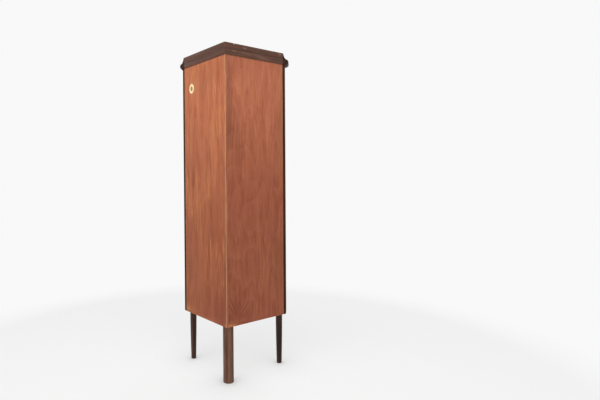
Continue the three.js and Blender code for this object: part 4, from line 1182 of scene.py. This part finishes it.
# %% [markdown]
# ## Floor, light and background
#
# The studio is plain: a pale floor that fades into the background, big soft lamps over the cabinet, at the
# picture's left and right and in front, and a little light from all round. What the camera sees directly, in
# a reflection or through glass, is the world's pale tone and a floor that is mostly that tone too, so that
# shadows stay soft. Close to the feet, where little open air reaches the floor, its own glow fades into a
# contact shadow. Light on its way to the cabinet meets the plain paint instead.

# %% Floor
BACKGROUND = 0.945
SHADOW_LIFT = 0.74
CONTACT_GLOW = 0.66
FLOOR_HALF, FLOOR_TONE = 40.0, 0.84
FADE_START, FADE_END = 0.8, 2.3


def straight_rays(tree):
    """1 for what the camera sees directly, in a reflection or through glass, and 0 for light on its way."""
    rays = node_of("ShaderNodeLightPath", tree=tree).outputs
    seen = sum_of("MAXIMUM", rays["Is Camera Ray"], rays["Is Transmission Ray"])
    return sum_of("MAXIMUM", seen, rays["Is Glossy Ray"])


form = bmesh.new()
bmesh.ops.create_grid(form, x_segments=1, y_segments=1, size=FLOOR_HALF)
floor = add_object("floor", mesh_of(form, "floor"))
floor_paint, surface, place = start_material("floor_paint", 0.6, specular=0.1)
tree = tree_of(place)
surface.inputs["Base Color"].default_value = (FLOOR_TONE, FLOOR_TONE, FLOOR_TONE, 1.0)
far_away = between(vector_sum("LENGTH", place), FADE_START, FADE_END)
contact = node_of("ShaderNodeAmbientOcclusion", {"samples": 8}, tree, Distance=0.25).outputs["AO"]
strength = sum_of("MULTIPLY_ADD", between(contact, 0.68, 0.99), 1.0 - CONTACT_GLOW, CONTACT_GLOW)
glow = node_of("ShaderNodeEmission", Color=(BACKGROUND, BACKGROUND, BACKGROUND, 1.0), Strength=strength)
glow_share = sum_of("MAXIMUM", far_away, times(straight_rays(tree), SHADOW_LIFT))
blended(glow_share, surface.outputs["BSDF"], glow.outputs["Emission"])
floor.data.materials.append(floor_paint)

# %% World
AMBIENT = 0.33
world = bpy.data.worlds.new("studio")
world.use_nodes = True
bpy.context.scene.world = world
tree = world.node_tree
back = tree.nodes["Background"].inputs
back["Color"].default_value = WHITE
feed(back["Strength"], sum_of("MULTIPLY_ADD", straight_rays(tree), BACKGROUND - AMBIENT, AMBIENT))


# %% Lamps
def soft_light(name, place, target, width, height, power):
    lamp = bpy.data.lights.new(name, "AREA")
    lamp.shape = "RECTANGLE"
    lamp.size = width
    lamp.size_y = height
    lamp.energy = power
    made = add_object(name, lamp)
    made.location = place
    made.rotation_euler = (Vector(target) - Vector(place)).to_track_quat("-Z", "Y").to_euler()
    made.visible_camera = False
    return made


soft_light("overhead", (0.2, 1.3, 3.3), (0.0, 0.1, 1.2), 2.4, 2.0, power=60.0)
soft_light("picture_left", (2.6, 2.2, 2.5), (0.0, 0.1, 1.4), 1.8, 2.0, power=25.0)
soft_light("picture_right", (-2.6, 2.0, 2.4), (0.0, 0.1, 1.4), 1.4, 1.8, power=26.0)
soft_light("front", (-0.6, -3.4, 2.9), (0.0, 0.0, 1.3), 2.4, 2.0, power=40.0).visible_glossy = False

# %% Finish
bpy.context.scene.view_settings.view_transform = "Standard"
